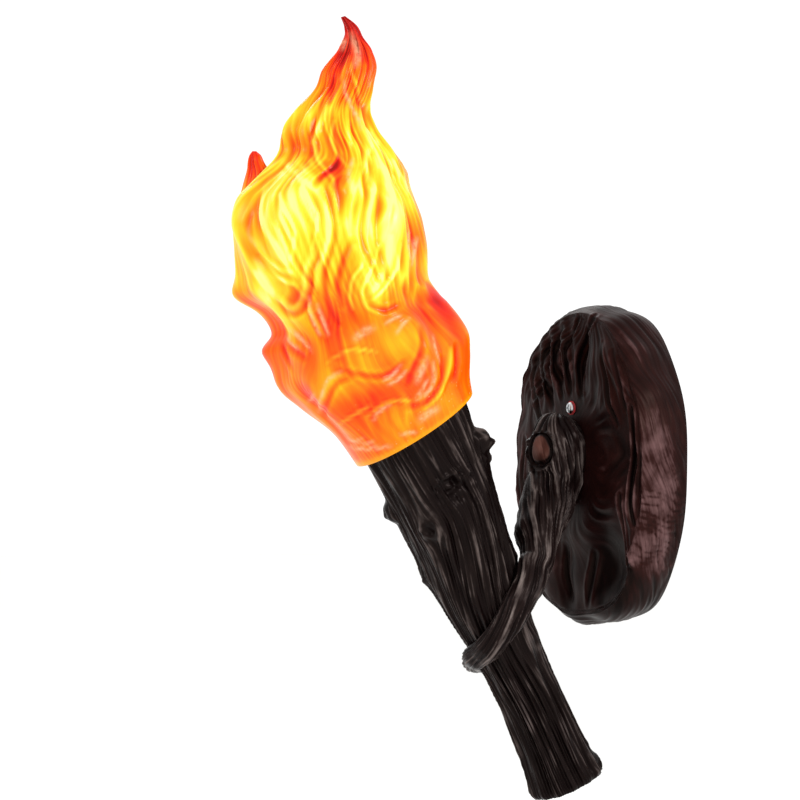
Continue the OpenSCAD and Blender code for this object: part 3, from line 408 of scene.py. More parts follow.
# Strokes on the near side by kind, each as across, up, across, up and so on along it.
FLAME_STROKES = {
    "lock": [
        (-65, 240, -70, 229, -73, 220, -75, 213, -72, 203, -68, 195), (-37, 222, -34, 211,
        -36, 199, -34, 188, -31, 179, -33, 166, -35, 154, -33, 142, -30, 131), (-99, 200, -87, 188,
        -75, 178, -67, 164, -64, 149, -66, 134, -71, 119, -74, 104), (-105, 194, -112, 179,
        -114, 164, -112, 152, -107, 141, -100, 132, -92, 125), (-128, 167, -133, 159, -134, 149,
        -131, 137, -123, 126, -114, 113, -105, 101, -92, 91, -85, 94, -81, 104, -81, 118, -77, 128,
        -74, 138), (-30, 201, -23, 189, -18, 175, -19, 160, -21, 147, -26, 134), (-18, 142,
        -21, 124, -26, 109, -33, 101)
    ],
    "thread": [
        (-49, 278, -52, 269, -55, 260), (-47, 272, -46, 263, -42, 252, -39, 242), (-60, 229,
        -62, 220, -61, 212, -57, 204, -50, 195), (-100, 175, -98, 165, -93, 155, -89, 145,
        -90, 134, -91, 126), (-82, 179, -77, 169, -72, 158, -73, 147, -76, 134), (-116, 128,
        -107, 118, -97, 110, -90, 107), (-75, 214, -72, 201, -65, 191, -60, 184, -59, 169,
        -57, 154), (-18, 200, -10, 186, -6, 175), (-44, 136, -39, 123, -46, 111, -48, 98, -46, 89),
        (-26, 136, -30, 123, -36, 111, -39, 101, -36, 91, -28, 86), (-11, 137, -14, 119, -21, 106,
        -31, 96), (-80, 100, -77, 88, -71, 76, -66, 68), (-64, 50, -54, 56, -41, 59, -28, 57),
        (26, 60, 25, 48, 23, 36, 17, 24, 8, 15), (-36, 8, -25, 17, -14, 21, -2, 21), (-55, 4,
        -42, 12, -33, 17)
    ],
    "groove": [
        (-46, 292, -41, 282, -38, 274), (-44, 255, -41, 244, -37, 234, -35, 225), (-60, 262,
        -62, 252, -64, 243), (-68, 243, -71, 233, -75, 225, -78, 216), (-47, 226, -46, 214,
        -45, 200), (-27, 211, -22, 200, -17, 190), (-82, 198, -72, 188, -65, 175, -60, 160,
        -59, 145, -62, 131, -66, 117, -66, 101, -61, 86, -56, 78), (-115, 175, -117, 163,
        -116, 149, -112, 136, -105, 126, -93, 119), (-87, 180, -85, 169, -80, 157, -75, 147,
        -74, 136), (-103, 170, -104, 158, -99, 147, -95, 138), (-124, 158, -127, 146, -122, 134,
        -113, 124, -103, 116, -93, 113, -87, 110), (-105, 94, -92, 85, -82, 89, -77, 104, -77, 117,
        -72, 126), (-39, 194, -36, 179, -38, 163, -40, 147, -38, 132), (-26, 191, -25, 177,
        -26, 160, -28, 145), (-47, 140, -53, 124, -57, 108, -54, 92), (-32, 92, -22, 88, -12, 92),
        (-59, 44, -44, 41, -28, 39, -16, 42, -8, 50), (-68, 8, -64, 21, -58, 33, -48, 38), (21, 52,
        20, 38, 15, 26, 7, 19, -6, 16), (4, 74, 5, 60, 0, 46, -5, 34), (31, 62, 31, 48, 28, 36),
        (-96, 68, -90, 60, -82, 52)
    ],
    "ember": [
        (-51, 283, -54, 276, -58, 270), (-64, 230, -66, 222, -66, 212, -62, 202, -58, 195),
        (-55, 229, -57, 217, -54, 206, -50, 190), (-83, 226, -84, 215, -80, 206, -75, 197,
        -68, 188), (-30, 231, -21, 214, -12, 202, -3, 188), (-72, 216, -69, 204, -59, 191,
        -55, 177, -56, 162), (-93, 31, -82, 23, -76, 14)
    ],
    "gleam": [
        (-52, 259, -51, 249, -47, 240, -42, 231, -39, 223), (-124, 150, -123, 143, -118, 136),
        (-46, 201, -49, 188, -47, 176), (-4, 147, -5, 136, -3, 126), (1, 142, 0, 131, -2, 122),
        (-72, 92, -68, 80, -64, 70), (-78, 98, -76, 84, -70, 70), (-22, 78, -16, 82, -10, 84),
        (-14, 71, -9, 78, -4, 82), (-73, 8, -69, 21, -64, 36, -55, 42), (-23, 36, -16, 40,
        -10, 47), (-20, 33, -12, 37, -6, 43), (14, 69, 16, 58, 19, 49), (13, 50, 14, 36, 10, 27,
        1, 22), (10, 37, 6, 29, 2, 24), (-31, 6, -26, 13, -18, 18), (-98, 73, -93, 66, -87, 60),
        (-92, 75, -84, 66, -76, 58), (-83, 15, -79, 20, -74, 26), (-40, -15, -36, -12, -30, -10),
        (-49, -7, -44, -9, -38, -8), (-49, -14, -34, -15, -17, -13), (-10, -5, -4, -3, 1, -3)
    ],
    "bright gleam": [
        (-47, 294, -44, 286, -42, 278, -44, 271), (-52, 290, -54, 284), (-44, 67, -38, 72,
        -31, 75), (8, 52, 5, 43, 2, 35), (-105, 50, -100, 42, -94, 33), (4, 6, 10, 11, 17, 15)
    ],
}


def flame_plane(across):
    """How near the flame's middle stands, on the plane of the log."""
    return -across / math.tan(VIEW_TURN)


def flame_frame(row, mid=None):
    """A section as [centre, half width, half depth], three vectors in one row of nine."""
    left, left_up, right, right_up, deep, drop = row
    way = (left + right) / 2
    centre = (RIM_CENTRE + way * ACROSS + flame_plane(way if mid is None else mid) * NEAR
              + (left_up + right_up) / 2 * UP)
    wide = (right - left) / 2 * ACROSS + (right_up - left_up) / 2 * UP
    return np.concatenate([centre, wide, deep * NEAR + drop * UP])


def round_frame(z, r, slope):
    """A round section at a height up the log, on a slope, turned as the flame's are."""
    right = np.array([math.cos(RIM_START), math.sin(RIM_START)])
    front = np.array([right[1], -right[0]])

    def way(v):
        return r * (v[0] * LOG_SIDE + v[1] * LOG_BACK + float(np.dot(slope, v)) * LOG_UP)

    return np.concatenate([LOG_FOOT + z * LOG_UP, way(right), way(front)])


FLAME_FRAMES = np.array([round_frame(FLAME_RIM_Z, FLAME_RIM_R, FLAME_RIM_SLOPE)]
                        + [flame_frame(row) for row in FLAME_SECTIONS])


def flame_fade(u):
    """How strong the folds are, u sections up: none at the rim and few at the tip."""
    return eased((u - 0.3) / 2) * (1 - 0.75 * eased((u - 14) / 8))


def flame_fold(u, a):
    """Large folds and locks of the flame, u sections up and at an angle in degrees.

    Six folds and nine lesser ones lie round the flame, and sway as they rise."""
    r = np.radians
    fold = (2.2 * np.sin(r(6 * a + 50 * np.sin(r(40 * u)) + 12 * u))
            + 1.3 * np.sin(r(9 * a - 22 * u + 40 * np.sin(r(25 * u)))) - 2)
    locks = sum(rise * hill((u - at) / high, turn(a, way) / wide)
                for at, way, high, wide, rise in FLAME_LOCKS)
    return flame_fade(u) * fold + locks


def eddied(u, a):
    """The section and angle that the strands are read at, turned by each eddy in its turn."""
    for at, way, size, swing in FLAME_EDDIES:
        du = u - at
        da = turn(a, way) / SECTION_TURN
        t = np.radians(swing * hill(du / size, da / size))
        u = u + np.sin(t) * da + (np.cos(t) - 1) * du
        a = a + SECTION_TURN * ((np.cos(t) - 1) * da - np.sin(t) * du)
    return u, a


def section_points(frames, a, rise):
    """Points on sections, at angles a in radians, moved out by a rise."""
    centre, wide, deep = frames[..., 0:3], frames[..., 3:6], frames[..., 6:9]
    grow_w = 1 + rise / np.linalg.norm(wide, axis=-1)
    grow_d = 1 + rise / np.linalg.norm(deep, axis=-1)
    return (centre + (grow_w * np.cos(a))[..., None] * wide
            + (grow_d * np.sin(a))[..., None] * deep)


def two_sided(points):
    """Places [across, up] for the near and the far side of the flame, each with its share."""
    from_rim = points - RIM_CENTRE
    across = from_rim @ ACROSS
    up = from_rim[..., 2]
    middle = np.interp(up, [row[1] for row in FLAME_SECTIONS[1:]],
                       [(row[0] + row[2]) / 2 for row in FLAME_SECTIONS[1:]])
    near = eased(0.5 + (from_rim @ NEAR - flame_plane(across) + EDGE_BACK) / EDGE_BLEND)
    return (across, up, near), (2 * middle - across + FAR_SHIFT, up, 1 - near)


def patches_at(across, up, patches):
    """The sum of soft patches of paint at places across the flame and up from its rim."""
    total = np.zeros(across.shape)
    for x, z, wide, high, tilt, change in patches:
        c, s = math.cos(math.radians(tilt)), math.sin(math.radians(tilt))
        along_it = c * (across - x) + s * (up - z)
        over_it = c * (up - z) - s * (across - x)
        total += change * hill(along_it / wide, over_it / high)
    return total


def patched(points):
    """The patches of paint at points of the flame: its two sides', and its lips' on both."""
    from_rim = points - RIM_CENTRE
    total = patches_at(from_rim @ ACROSS, from_rim[..., 2], LIP_PATCHES)
    for across, up, share in two_sided(points):
        total += share * patches_at(across, up, HEAT_PATCHES)
    return total


def stroked(points):
    """The strokes' rise, change of heat and pale painted highlight at points of the flame."""
    rise, heat, gleam_paint = (np.zeros(points.shape[:-1]) for _ in range(3))
    for across, up, side in two_sided(points):
        for kind, lines in FLAME_STROKES.items():
            wide, high, hotter, gleam_share = STROKE_KINDS[kind]
            for line in lines:
                far, share = along(across, up, np.reshape(line, (-1, 2)), 3 * wide)
                ridge = side * tapered(share) * hill(far / wide)
                banks = side * tapered(share) * hill((far / wide - 1.9) / 0.7)
                rise += high * (ridge - 0.35 * banks)
                heat += hotter * (ridge - 0.3 * banks)
                # Pale paint along the ridge is a painted highlight, strongest on the gleams.
                gleam_paint = np.maximum(gleam_paint, gleam_share * ridge)
    return rise, heat, gleam_paint


def flame_paint(points, u, angle):
    """The relief, its coordinates, the heat of the paint and its painted highlight at points of
    the flame.
    """
    up = (points - RIM_CENTRE)[..., 2]
    u_read, a_read = eddied(u, np.degrees(angle))
    swirl = np.sin(np.radians(FLAME_STRANDS * a_read + 60 * np.sin(np.radians(22 * u_read))))
    waves = flame_fade(u) * (STRAND_RISE * swirl + STRAND_OUT)
    sway = 0.16 * wander(points, 95, 5)
    flow = strands(np.radians(a_read) + sway, SECTION_HIGH * u_read, FLAME_REACH, 7.0)
    groove = 1 - 2 * np.abs(wander(flow, 9, 12))
    fine = wander(flow, 4.5, 13)
    # The lower flame is calmer than the part above its waist.
    lively = 0.35 + 0.65 * eased((up - 70) / 50) + 0.3 * wander(points, 40, 15)
    stroke, hotter, gleam_paint = stroked(points)
    rise = waves + stroke + lively * (0.35 * groove + 0.2 * fine)
    heat = np.interp(up, *zip(*HEAT_UP)) + patched(points) + hotter
    heat += 0.05 * waves + (0.3 + 0.7 * lively) * (0.10 * groove + 0.05 * fine - 0.02)
    heat += 0.05 * wander(points, 45, 16)
    bubbles = 0.7 * eased((2.4 - u) / 1.8) * eased(0.5 + wander(points, 26, 17))
    # The resin's own amber shows along the rim.
    edge = eased((0.35 - u) / 0.25)
    heat = heat * (1 - edge) + 0.6 * edge
    return rise, {"flow": flow, "paint": heat, "gleam_paint": gleam_paint, "bubbles": bubbles}


def flame_outside(columns, rows):
    """The rings of the flame's skin from the rim to the tip, and the marks of its paint."""
    last = len(FLAME_FRAMES) - 1
    # The first and the last sections get 7 percent of the rings each.
    u = np.interp(np.linspace(0, 1, rows), [0, 0.07, 0.93, 1], [0, 1.6, 20, last])
    u, angle = np.broadcast_arrays(u[:, None], round_angles(columns)[None, :])
    frames = curve(FLAME_FRAMES, u)
    fold = flame_fold(u, np.degrees(angle))
    rise, marks = flame_paint(section_points(frames, angle, fold), u, angle)
    fade = eased(u / 1.2) * eased((last - u) / 3)
    return held_in_box(section_points(frames, angle, fold + fade * rise)), marks


def flame_inside(columns):
    """The rings of the bore, the ledge and the hollow, from the rim inwards and up."""
    angle = round_angles(columns)
    flat = (0.0, 0.0)
    ledge_top = LEDGE_Z + LEDGE_T
    rounds = [(FLAME_RIM_Z - 0.2, BORE_R, FLAME_RIM_SLOPE), (LEDGE_Z, BORE_R, flat),
              (LEDGE_Z, LEDGE_R, flat), (ledge_top, LEDGE_R, flat), (ledge_top, FLOOR_R, flat)]
    rings = [section_points(round_frame(*row)[None], angle, np.zeros(1)) for row in rounds]
    for u in np.linspace(HOLLOW_FROM, HOLLOW_TO, HOLLOW_RINGS):
        at = curve(FLAME_FRAMES, np.full(columns, u))
        fold = flame_fold(u, np.degrees(angle))
        rings.append(section_points(at, angle, fold - FLAME_WALL))
    return np.array(rings + [pole(rings[-1])])


def flame_tongue(columns=90, rows=70):
    """The small tongue, as a closed piece of its own."""
    frames = np.array([flame_frame(row, TONGUE_MID) for row in TONGUE_SECTIONS])
    last = len(frames) - 1
    u, angle = np.broadcast_arrays(np.linspace(0, last, rows)[:, None],
                                   round_angles(columns)[None, :])
    at = curve(frames, u)
    plain = section_points(at, angle, np.zeros(u.shape))
    flow = strands(angle, plain[..., 2], 18.0, 7.0)
    rise = 1.1 * wander(flow, 7, 21) * eased((last - u) / 2)
    points = section_points(at, angle, rise)
    up = points[..., 2] - RIM_CENTRE[2]
    heat = np.interp(up, *zip(*TONGUE_HEAT)) + 0.12 * rise + 0.06 * wander(flow, 3.5, 22)
    marks = {"paint": heat, "flow": flow, "gleam_paint": 0 * heat, "bubbles": 0 * heat}
    return loft("flame_tongue", np.array([pole(points[0]), *points, pole(points[-1])]),
                **{kind: np.concatenate([values[:1], values, values[-1:]])
                   for kind, values in marks.items()})


def translucent_flame_resin(colours):
    """Translucent polyester resin, sprayed from red to yellow and lit from inside: glossy, with
    fine strands along its swirls, and pale painted highlights along some ridges."""
    material, tree, shader = new_material("flame_resin")
    heat = add(tree, "ShaderNodeAttribute", {"attribute_name": "paint"})
    flow = add(tree, "ShaderNodeAttribute", {"attribute_name": "flow"})
    gleam_paint = add(tree, "ShaderNodeAttribute", {"attribute_name": "gleam_paint"})
    # Strands 1.8 mm wide: the flow coordinates are millimetres across a strand.
    strand = add(tree, "ShaderNodeTexNoise", Vector=flow.outputs["Vector"], Scale=1 / 1.8,
                 Detail=3.0, Roughness=0.55)
    spread = add(tree, "ShaderNodeMath", {"operation": "MULTIPLY_ADD"},
                 i0=strand.outputs["Fac"], i1=0.12, i2=-0.06)
    total = add(tree, "ShaderNodeMath", {"operation": "ADD"},
                i0=heat.outputs["Fac"], i1=spread.outputs[0])
    ramp = add(tree, "ShaderNodeValToRGB", Fac=total.outputs[0])
    fill_ramp(ramp, [[0.0, colours.tip], [0.13, "#D4160A"], [0.26, "#F03406"],
                     [0.40, colours.body], [0.52, "#FA8406"], [0.64, "#FBAA10"],
                     [0.76, colours.heart], [0.88, "#FAE63C"], [1.0, "#FBF38C"]])
    # The painted highlight is broken into patches about 4 mm across.
    place = add(tree, "ShaderNodeTexCoord")
    gleam_patches = add(tree, "ShaderNodeTexNoise", Vector=place.outputs["Object"], Scale=1 / (4 * MM))
    gleam_patch = add(tree, "ShaderNodeMapRange", i0=gleam_patches.outputs["Fac"], i1=0.3, i2=0.6, i3=0.3)
    gleam_share = add(tree, "ShaderNodeMath", {"operation": "MULTIPLY", "use_clamp": True},
               i0=gleam_paint.outputs["Fac"], i1=gleam_patch.outputs[0])
    paint = add(tree, "ShaderNodeMix", {"data_type": "RGBA"}, i0=gleam_share.outputs[0],
                i6=ramp.outputs["Color"], i7=linear(colours.gleam_paint))
    # Bubbles under the skin near the rim. They are finer than 1 mm, and drawn 1.5 mm wide to show.
    marks = add(tree, "ShaderNodeAttribute", {"attribute_name": "bubbles"})
    cells = add(tree, "ShaderNodeTexVoronoi", Vector=place.outputs["Object"],
                Scale=1 / (3.2 * MM))
    dot = add(tree, "ShaderNodeMapRange", i0=cells.outputs["Distance"], i1=0.26, i2=0.14)
    chance = add(tree, "ShaderNodeSeparateColor", Color=cells.outputs["Color"])
    some = add(tree, "ShaderNodeMapRange", i0=chance.outputs["Red"], i1=0.5, i2=0.9,
               i4=0.6)
    speck = add(tree, "ShaderNodeMath", {"operation": "MULTIPLY"},
                i0=dot.outputs[0], i1=some.outputs[0])
    bubble = add(tree, "ShaderNodeMath", {"operation": "MULTIPLY", "use_clamp": True},
                 i0=speck.outputs[0], i1=marks.outputs["Fac"])
    skin = add(tree, "ShaderNodeMix", {"data_type": "RGBA"}, i0=bubble.outputs[0],
               i6=paint.outputs[2], i7=linear("#FFD08A"))
    # What the paint reflects and what it lets through add up to its colour in white light.
    reflected = add(tree, "ShaderNodeMix", {"data_type": "RGBA", "blend_type": "MULTIPLY"},
                    i0=1.0, i6=skin.outputs[2], i7=(0.46, 0.46, 0.46, 1.0))
    bump = add(tree, "ShaderNodeBump", Height=strand.outputs["Fac"], Strength=0.3,
               Distance=0.4 * MM)
    feed(tree, shader, Base_Color=reflected.outputs[2], Emission_Color=skin.outputs[2],
         Normal=bump.outputs["Normal"], Emission_Strength=0.35, Roughness=0.28, IOR=1.45,
         Specular_IOR_Level=0.12)
    return material


def dark_resin(name, low, high, ridge_from, ridge_to, grain, gloss, hairy=0.9, sawn=None,
               sheen="#E8D2CC"):
    """Cast resin under a satin brown lacquer, with a dry brush of lighter paint on what stands up,
    painted shade in the grooves and painted highlights on the ridges: dark in the grooves, with
    greyish-brown ridges and soft gloss along them.

    The paint goes from low to high as the relief in millimetres goes over the ridge's two ends.
    Grain is its width in millimetres, hairy its strength, and sawn the colour of bare resin on a
    cut face."""
    material, tree, shader = new_material(name)
    rise = add(tree, "ShaderNodeAttribute", {"attribute_name": "rise"})
    flow = add(tree, "ShaderNodeAttribute", {"attribute_name": "flow"})
    fine = add(tree, "ShaderNodeTexNoise", Vector=flow.outputs["Vector"], Scale=1 / grain,
               Detail=4.0, Roughness=0.6)
    place = add(tree, "ShaderNodeTexCoord")
    cloud = add(tree, "ShaderNodeTexNoise", Vector=place.outputs["Object"], Scale=1 / (18 * MM),
                Detail=3.0)
    height = add(tree, "ShaderNodeMapRange", i0=rise.outputs["Fac"], i1=ridge_from, i2=ridge_to)
    grainy = add(tree, "ShaderNodeMath", {"operation": "MULTIPLY_ADD"},
                 i0=fine.outputs["Fac"], i1=hairy, i2=-0.5 * hairy)
    brush_and_shade = add(tree, "ShaderNodeMath", {"operation": "ADD", "use_clamp": True},
                  i0=height.outputs[0], i1=grainy.outputs[0])
    patchy = add(tree, "ShaderNodeMapRange", i0=cloud.outputs["Fac"], i1=0.35, i2=0.65, i3=0.55)
    amount = add(tree, "ShaderNodeMath", {"operation": "MULTIPLY"},
                 i0=brush_and_shade.outputs[0], i1=patchy.outputs[0])
    ramp = add(tree, "ShaderNodeValToRGB", Fac=amount.outputs[0])
    # The near-black end is painted shade in the grooves, and the high end is dry brush and painted
    # highlight on the ridges.
    fill_ramp(ramp, [[0.0, "#070303"], [0.35, low], [1.0, high]])
    paint = ramp.outputs["Color"]
    if sawn:
        cut = add(tree, "ShaderNodeAttribute", {"attribute_name": "sawn"})
        bare = add(tree, "ShaderNodeMath", {"operation": "MULTIPLY"},
                   i0=cut.outputs["Fac"], i1=brush_and_shade.outputs[0])
        paint = add(tree, "ShaderNodeMix", {"data_type": "RGBA"}, i0=bare.outputs[0],
                    i6=paint, i7=linear(sawn)).outputs[2]
    bump = add(tree, "ShaderNodeBump", Height=fine.outputs["Fac"], Strength=0.6,
               Distance=0.35 * MM)
    feed(tree, shader, Base_Color=paint, Normal=bump.outputs["Normal"], Roughness=gloss,
         Specular_IOR_Level=0.075, Specular_Tint=linear(sheen))
    return material


# ---- Log ----

LOG_LENGTH, LOG_TOP_R, LOG_WAIST_R, LOG_FOOT_R = 314.0, 43.0, 25.0, 27.0
# The recess under the gallery and the bore for the leads: radius and floor of each.
RECESS_R, RECESS_FLOOR, BORE_FOR_LEADS_R, BORE_FOR_LEADS_FLOOR = 17.0, 302.0, 7.0, 280.0
# The log's radius against height: [height share, share of the top's radius, of the waist's].
LOG_SHAPE = np.array([
    [0, 0, 1.12], [0.04, 0, 1.06], [0.11, 0, 0.97], [0.22, 0, 0.93], [0.32, 0, 0.95],
    [0.41, 0.20, 0.68], [0.51, 0.55, 0.28], [0.6, 0.75, 0.06], [0.68, 0.84, 0],
    [0.76, 0.90, 0], [0.86, 0.945, 0], [0.94, 0.99, 0], [1, 1, 0]])
# How far the log bows towards the wall, against height share.
LOG_BOW = [[0, 2], [0.1, 3], [0.25, 2.5], [0.4, 0], [0.55, -1.5], [0.7, -1], [0.85, 0], [1, 0]]
# Knots, hollows and broken stubs: [height, angle, size, rise, steepness].
LOG_KNOTS = [
    [274, 56, 8, 8, 2], [261, 57, 12, 5, 1], [248, 240, 9, 7, 2], [233, -58, 9, 3.5, 1],
    [190, 240, 9, 3, 1], [180, 62, 10, 2, 1], [6, 60, 15, 3.5, 1], [257, -14, 11, -3.5, 1],
    [120, 20, 12, 1.5, 1], [150, 170, 11, 4, 1], [60, 200, 10, 2, 1], [205, 130, 9, 2.5, 1],
    [262, 168, 10, -3, 1]]
# The rough ring of a healed knot, at [height, angle, size].
KNOT_RINGS = [[233, -58, 8], [205, 130, 8]]
# A lip over a hollow with rough lumps in it, at [height, angle, size].
KNOT_LIPS = [[257, -14, 11], [262, 168, 10]]
BARK_RISE, BARK_RIBS = 0.9, 13


def log_bow(z):
    """How far the log's line stands behind its straight axis at a height."""
    return np.interp(z / LOG_LENGTH, *zip(*LOG_BOW))


def log_r(z):
    """The radius of the log under its bark at a height."""
    share = z / LOG_LENGTH
    return (np.interp(share, LOG_SHAPE[:, 0], LOG_SHAPE[:, 1]) * LOG_TOP_R
            + np.interp(share, LOG_SHAPE[:, 0], LOG_SHAPE[:, 2]) * LOG_WAIST_R)


def off_knot(angle, z, radius, knot):
    """How far places are round the log and up it from a knot, in its own size."""
    height, way, size = knot[:3]
    return np.radians(turn(np.degrees(angle), way)) * radius / size, (z - height) / size


def parted(angle, z, radius):
    """The angle that grain is read at, so that it parts round each knot as round a stone."""
    out = angle.copy()
    for knot in LOG_KNOTS:
        dq, dz = off_knot(angle, z, radius, knot)
        far = dq**2 + (dz / 1.5)**2
        push = 0.75 if knot[4] > 1 or knot[3] > 3 else 0.25
        out -= knot[2] * dq / radius * push / (far + 0.5) * np.exp(-far / 6)
    return out


def bark(z, angle):
    """Ribs that run up the log and sway."""
    r = np.radians
    a = np.degrees(angle)
    return BARK_RISE * (np.sin(r(BARK_RIBS * a + 70 * np.sin(r(1.5 * z))))
                        + 0.7 * np.sin(r(5 * a - 60 * np.sin(r(1.1 * z + 50)))))


def log_surface(z, angle):
    """The bark's rise over the plain round, its relief for the paint, and the grain's place."""
    r = log_r(z)
    spun = parted(angle, z, r)
    twist = (0.22 * np.sin(z / 60.0) + 0.05 * np.sin(z / 23.0 + 2)
             + 0.0036 * np.clip(z - 235, 0, None))
    flow = strands(spun + twist, z, 40.0, 15.0)
    cords = wander(flow, 5.6, 31)
    broad = wander(flow, 13, 32)
    fine = wander(flow, 3.0, 33)
    crest = 1 - 2.2 * np.abs(cords)
    ribs = bark(z, angle)
    relief = 1.1 * crest + 0.2 * broad + 0.35 * fine + 0.3 * ribs
    rise = ribs + 0.8 * crest + 0.25 * fine
    skin = strands(angle, z, r, 1.0)
    rough = wander(skin, 10.0, 35)
    grit = wander(skin, 6.5, 36)
    for height, way, size, up, steep in LOG_KNOTS:
        far = np.hypot(*off_knot(angle, z, r, (height, way, size)))
        bump = up * np.exp(-far ** (2 * steep))
        knobbly = (rough + 0.5 * grit) * hill(far / 1.2) * min(abs(up) / 5, 1)
        rise = rise + bump + knobbly
        relief = relief + 0.05 * bump + 0.7 * knobbly
    for knot in KNOT_RINGS:
        far = np.hypot(*off_knot(angle, z, r, knot)) + 0.2 * rough
        ring = hill((far - 0.75) / 0.2)
        rise = rise + ring * (1.1 + 0.8 * grit) - 2.2 * hill(far / 0.5)
        # The pit inside the ring is painted darker, a painted shade.
        relief = relief + 0.8 * ring * (0.3 + grit) - 1.5 * hill(far / 0.6)
    for knot in KNOT_LIPS:
        dq, dz = off_knot(angle, z, r, knot)
        far = np.hypot(0.75 * dq, dz) + 0.18 * rough
        lip = hill((far - 1.0) / 0.2) * eased(dz + 0.4)
        lumps = (0.7 * rough + grit) * np.exp(-far**2 * 1.2)
        rise = rise + 1.7 * lip + 1.1 * lumps
        # The hollow under the lip is painted darker, a painted shade.
        relief = relief - 1.6 * hill(far) + 0.5 * lip + 1.5 * lumps
    return rise, relief, flow


def log_points(z, angle, r):
    """Points at heights, angles in radians and radii round the bowed log."""
    side = r * np.cos(angle)
    back = r * np.sin(angle) + log_bow(z)
    return (LOG_FOOT + side[..., None] * LOG_SIDE + back[..., None] * LOG_BACK
            + z[..., None] * LOG_UP)


def log_mesh(columns, rows):
    """The log from its rough foot to the bore for the leads."""
    angle = np.linspace(0, 2 * math.pi, columns, endpoint=False)

    def ring_at(height, radius):
        return log_points(np.full(columns, height), angle, np.full(columns, radius))

    z, angles = np.broadcast_arrays(np.linspace(0, LOG_LENGTH, rows)[:, None], angle[None, :])
    rise, relief, flow = log_surface(z, angles)
    # The foot is chamfered unevenly, and the top meets the gallery on a plain round.
    foot = eased(z / 5) ** 0.5
    top = eased((LOG_LENGTH - 0.5 - z) / 8)
    r = log_r(z) + rise * top - 1.8 * (1 - foot) * (1 + 0.6 * relief) - 0.3
    rough_cut = 0.35 * np.sin(7 * angle) + 0.2 * np.sin(19 * angle + 1)
    below = np.array([ring_at(0.0, share * LOG_FOOT_R)
                      + (0.5 * rough_cut * share)[:, None] * LOG_UP
                      for share in (0.0, 0.2, 0.4, 0.6, 0.8)])
    above = np.array([ring_at(height, radius) for height, radius in [
        (LOG_LENGTH, RECESS_R), (RECESS_FLOOR, RECESS_R), (RECESS_FLOOR, BORE_FOR_LEADS_R),
        (BORE_FOR_LEADS_FLOOR, BORE_FOR_LEADS_R), (BORE_FOR_LEADS_FLOOR, 0.0)]])
    paint = np.concatenate([np.linspace(0, 1, len(below))[:, None] * relief[:1], relief,
                            np.zeros((len(above), columns))])
    return loft("log_cast", np.concatenate([below, log_points(z, angles, r), above]),
                rise=paint, flow=np.concatenate([below - LOG_FOOT, flow, above - LOG_FOOT]))


# ---- Branch ----

# The limb's top stands off the plate's face over the root.
PLATE_FACE, LIMB_OUT, ROOT_Z = 47.0, 14.0, 9.0
LIMB_TOP = np.array([0.0, -(PLATE_FACE + LIMB_OUT), ROOT_Z])
# The branch's line, with its radius last in each row. The elbow, from the limb's top: back, up.
ELBOW_DOME = [[2, 30, 1], [1.5, 28, 9], [1, 24, 14], [0.5, 17, 18], [0, 8, 20]]
# The limb, between its top and the clasp: share of the way, side, back.
LIMB_BOW = [
    [0.02, 0, 0, 20.5], [0.22, -5, 5.5, 20], [0.36, -6.5, 5.5, 20], [0.47, -7, 5, 19.5],
    [0.63, -6, 1.4, 18], [0.77, -2.6, 0, 15.5], [0.93, -0.8, 1.7, 13]]
# The clasp round the log: height, angle, rise over the log.
CLASP = [
    [168, 45, 12, 12.5], [160, 28, 8.5, 12], [153, 7, 6, 11.5], [142, -17, 4.5, 11],
    [133, -42, 3.5, 10.5], [127, -67, 2.5, 10], [121, -105, 1.5, 9.5], [113, -143, 1.5, 9],
    [106, -172, 1, 7.5], [100, -196, 0.5, 5], [98, -208, 0.5, 2]]
# The cut stub on the elbow: degrees from the front, height over the limb's top, distance of its
# end from the wall, radius of the cut, and radius of the lip of bark round it.
STUB_TURN, STUB_UP, STUB_REACH, STUB_R, STUB_LIP_R = 21.0, 3.0, 80.0, 15.5, 11.4
# Points are matched to the line this many at a time, to save memory.
BATCH = 4000


def on_log(r, degrees, z):
    """A point on a round of the straight log."""
    a = math.radians(degrees)
    return LOG_FOOT + r * math.cos(a) * LOG_SIDE + r * math.sin(a) * LOG_BACK + z * LOG_UP


def branch_line():
    """The branch's centre line with its radius, four numbers a row."""
    clasp = []
    for z, way, rise, radius in CLASP:
        clasp.append([*(on_log(log_r(z) + rise, way, z) + log_bow(z) * LOG_BACK), radius])
    end = np.array(clasp[0][:3])
    rows = [[*(LIMB_TOP + [0, y, up]), radius] for y, up, radius in ELBOW_DOME]
    rows += [[*(LIMB_TOP + share * (end - LIMB_TOP) + [side, y, 0]), radius]
             for share, side, y, radius in LIMB_BOW]
    rows = np.array(rows + clasp)
    return curve(rows, np.linspace(0, len(rows) - 1, 400))


def carried_frames(line):
    """Headings along a line, and two directions across it that don't twist."""
    heading = np.gradient(line, axis=0)
    heading /= np.linalg.norm(heading, axis=1)[:, None]
    side = np.zeros_like(line)
    way = np.array([1.0, 0.0, 0.0])
    for i, h in enumerate(heading):
        way = way - way.dot(h) * h
        way /= np.linalg.norm(way)
        side[i] = way
    return heading, side, np.cross(heading, side)


def copy_of_node(node, name):
    """A merged copy of a CAD node's mesh, with its place in the mesh."""
    source = bpy.data.objects[node]
    clear_selection()
    piece = source.copy()
    piece.data = source.data.copy()
    piece.name = name
    bpy.context.scene.collection.objects.link(piece)
    piece.parent = None
    piece.matrix_world = source.matrix_world.copy()
    only(piece)
    bpy.ops.object.transform_apply(location=True, rotation=True, scale=True)
    weld(piece)
    return piece


